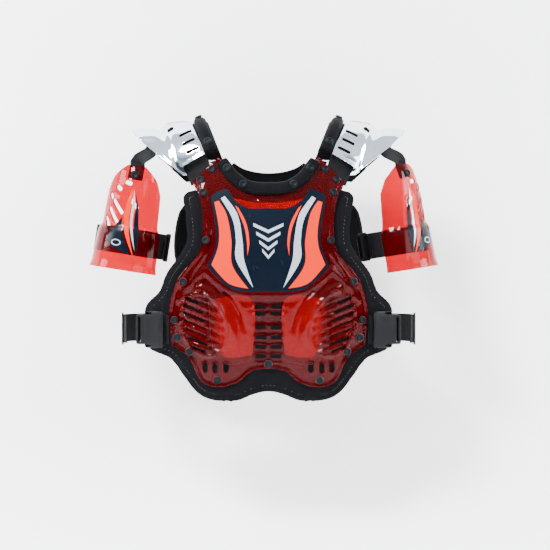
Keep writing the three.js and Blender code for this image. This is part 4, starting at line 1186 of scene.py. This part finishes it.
def makeStuds():
    for node in sorted(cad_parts):
        if "stud" not in node:
            continue
        low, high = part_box(node)
        centre = (Vector(low) + Vector(high)) / 2
        side = -1 if node.startswith("left") else 1
        if "roll" in node and "collar" not in node:
            angle = math.radians(66 if "lower" in node else 14)
            here = shoulderPoint(side, rollMiddle, angle, 0.02)
            normal = (here - shoulderPoint(side, rollMiddle, angle, 0.0)).normalized()
        else:
            normal = chestNormal(centre.x, centre.z)
            if "collar" not in node:
                # on the highest of the relief under it
                ring = [(centre.x + stud["reach"] * math.cos(a), centre.z + stud["reach"] * math.sin(a))
                        for a in (0, 1.05, 2.1, 3.14, 4.2, 5.25)]
                seat = max(plateRelief(x, z) for x, z in ring + [(centre.x, centre.z)])
                centre.y = -layerDepth(centre.x, centre.z, layers["onPlate"] + seat + stud["lift"])
        words = node.split("_")
        name = words[0] + "".join(word.capitalize() for word in words[1:])
        makeStud(name, node, centre - normal * stud["sink"], normal)
    for name, place, normal in guardStuds:
        makeStud(name, None, place, normal)


makeStuds()
print("studs made")

# the studio
stage = {"floor": -0.80, "wall": 0.20, "bend": 0.35, "width": 5.0, "height": 2.6, "gap": 0.002, "steps": 12}


def stageSheet(name, bm, behind):
    mesh = bpy.data.meshes.new(name)
    bm.to_mesh(mesh)
    bm.free()
    obj = bpy.data.objects.new(name, mesh)
    bpy.context.collection.objects.link(obj)
    for polygon in mesh.polygons:
        polygon.use_smooth = True
    material, tree, shader, vector = startMaterial(name, {"Roughness": 0.85, "Specular IOR Level": 0.1})
    group = placeGroup(tree, "grain", vector, Scale=60, Cloud=2)
    pale = mixColour(tree, group.outputs["Cloudy"], (0.94, 0.94, 0.945, 1), (0.96, 0.96, 0.965, 1))
    tree.links.new(pale, shader.inputs["Base Color"])
    if behind:
        # seen from behind, the backdrop is clear
        side = tree.nodes.new("ShaderNodeNewGeometry")
        clear = tree.nodes.new("ShaderNodeBsdfTransparent")
        mix = tree.nodes.new("ShaderNodeMixShader")
        tree.links.new(side.outputs["Backfacing"], mix.inputs["Fac"])
        tree.links.new(shader.outputs["BSDF"], mix.inputs[1])
        tree.links.new(clear.outputs["BSDF"], mix.inputs[2])
        tree.links.new(mix.outputs["Shader"], tree.nodes["Material Output"].inputs["Surface"])
    mesh.materials.append(material)


def makeStage():
    bm = bmesh.new()
    bmesh.ops.create_circle(bm, cap_ends=True, segments=96, radius=stage["width"] / 2)
    bmesh.ops.translate(bm, vec=(0, 0, stage["floor"]), verts=bm.verts[:])
    stageSheet("paleFloor", bm, False)

    # the backdrop rises behind the object and curves into the floor
    bm = bmesh.new()
    corner = stage["wall"] - stage["bend"]
    low = stage["floor"] + stage["gap"]
    run = [(corner - 0.05, low)]
    for k in range(stage["steps"] + 1):
        a = math.pi / 2 * k / stage["steps"]
        run.append((corner + stage["bend"] * math.sin(a), low + stage["bend"] * (1 - math.cos(a))))
    run.append((stage["wall"], stage["height"]))
    verts = [bm.verts.new((-stage["width"] / 2, y, z)) for y, z in run]
    edges = [bm.edges.new(pair) for pair in zip(verts, verts[1:])]
    made = bmesh.ops.extrude_edge_only(bm, edges=edges)["geom"]
    far = [v for v in made if isinstance(v, bmesh.types.BMVert)]
    bmesh.ops.translate(bm, vec=(stage["width"], 0, 0), verts=far)
    bm.normal_update()
    bm.faces.ensure_lookup_table()
    if bm.faces[0].normal.z < 0:
        bmesh.ops.reverse_faces(bm, faces=bm.faces[:])
    stageSheet("paleBackdrop", bm, True)


worldBands = [(0.0, (0.10, 0.10, 0.11, 1)), (0.44, (0.10, 0.11, 0.12, 1)), (0.5, (0.05, 0.055, 0.065, 1)),
              (0.57, (0.14, 0.17, 0.21, 1)), (0.62, (0.75, 0.92, 1.15, 1)), (0.68, (0.42, 0.48, 0.56, 1)),
              (0.76, (1.7, 1.75, 1.85, 1)), (1.0, (1.4, 1.45, 1.55, 1))]


def makeWorld():
    # a studio with soft bands of light, so that plated pieces have something to mirror
    world = bpy.data.worlds.new("studio")
    bpy.context.scene.world = world
    world.use_nodes = True
    tree = world.node_tree
    place = tree.nodes.new("ShaderNodeTexCoord")
    split = tree.nodes.new("ShaderNodeSeparateXYZ")
    tree.links.new(place.outputs["Generated"], split.inputs[0])
    bands = tree.nodes.new("ShaderNodeValToRGB")
    for at, colour in worldBands[1:-1]:
        bands.color_ramp.elements.new(at).color = colour
    bands.color_ramp.elements[0].color = worldBands[0][1]
    bands.color_ramp.elements[-1].color = worldBands[-1][1]
    tree.links.new(ramp(tree, split.outputs["Z"], -1, 1), bands.inputs["Fac"])
    tree.links.new(bands.outputs["Color"], tree.nodes["Background"].inputs["Color"])
    tree.nodes["Background"].inputs["Strength"].default_value = 1.0


lights = {
    "keyLight": {"place": (-1.2, -1.9, 1.9), "size": 0.7, "power": 250},
    "fillLight": {"place": (2.2, -2.0, 0.6), "size": 1.4, "power": 45},
    "backdropLeft": {"place": (-2.0, -0.6, 0.7), "size": 0.9, "power": 85, "aim": (-0.3, 0.2, -0.2)},
    "backdropRight": {"place": (2.0, -0.6, 0.7), "size": 0.9, "power": 85, "aim": (0.3, 0.2, -0.2)},
    "rearLight": {"place": (0.5, 2.2, 1.2), "size": 1.2, "power": 30},
}


def makeLights():
    for name, light in lights.items():
        data = bpy.data.lights.new(name, "AREA")
        data.size = light["size"]
        data.energy = light["power"]
        obj = bpy.data.objects.new(name, data)
        obj.location = light["place"]
        aim = Vector(light.get("aim", (0, 0, -0.2))) - Vector(light["place"])
        obj.rotation_euler = aim.to_track_quat("-Z", "Y").to_euler()
        bpy.context.collection.objects.link(obj)


makeWorld()
makeStage()
makeLights()
print("stage and lights made")
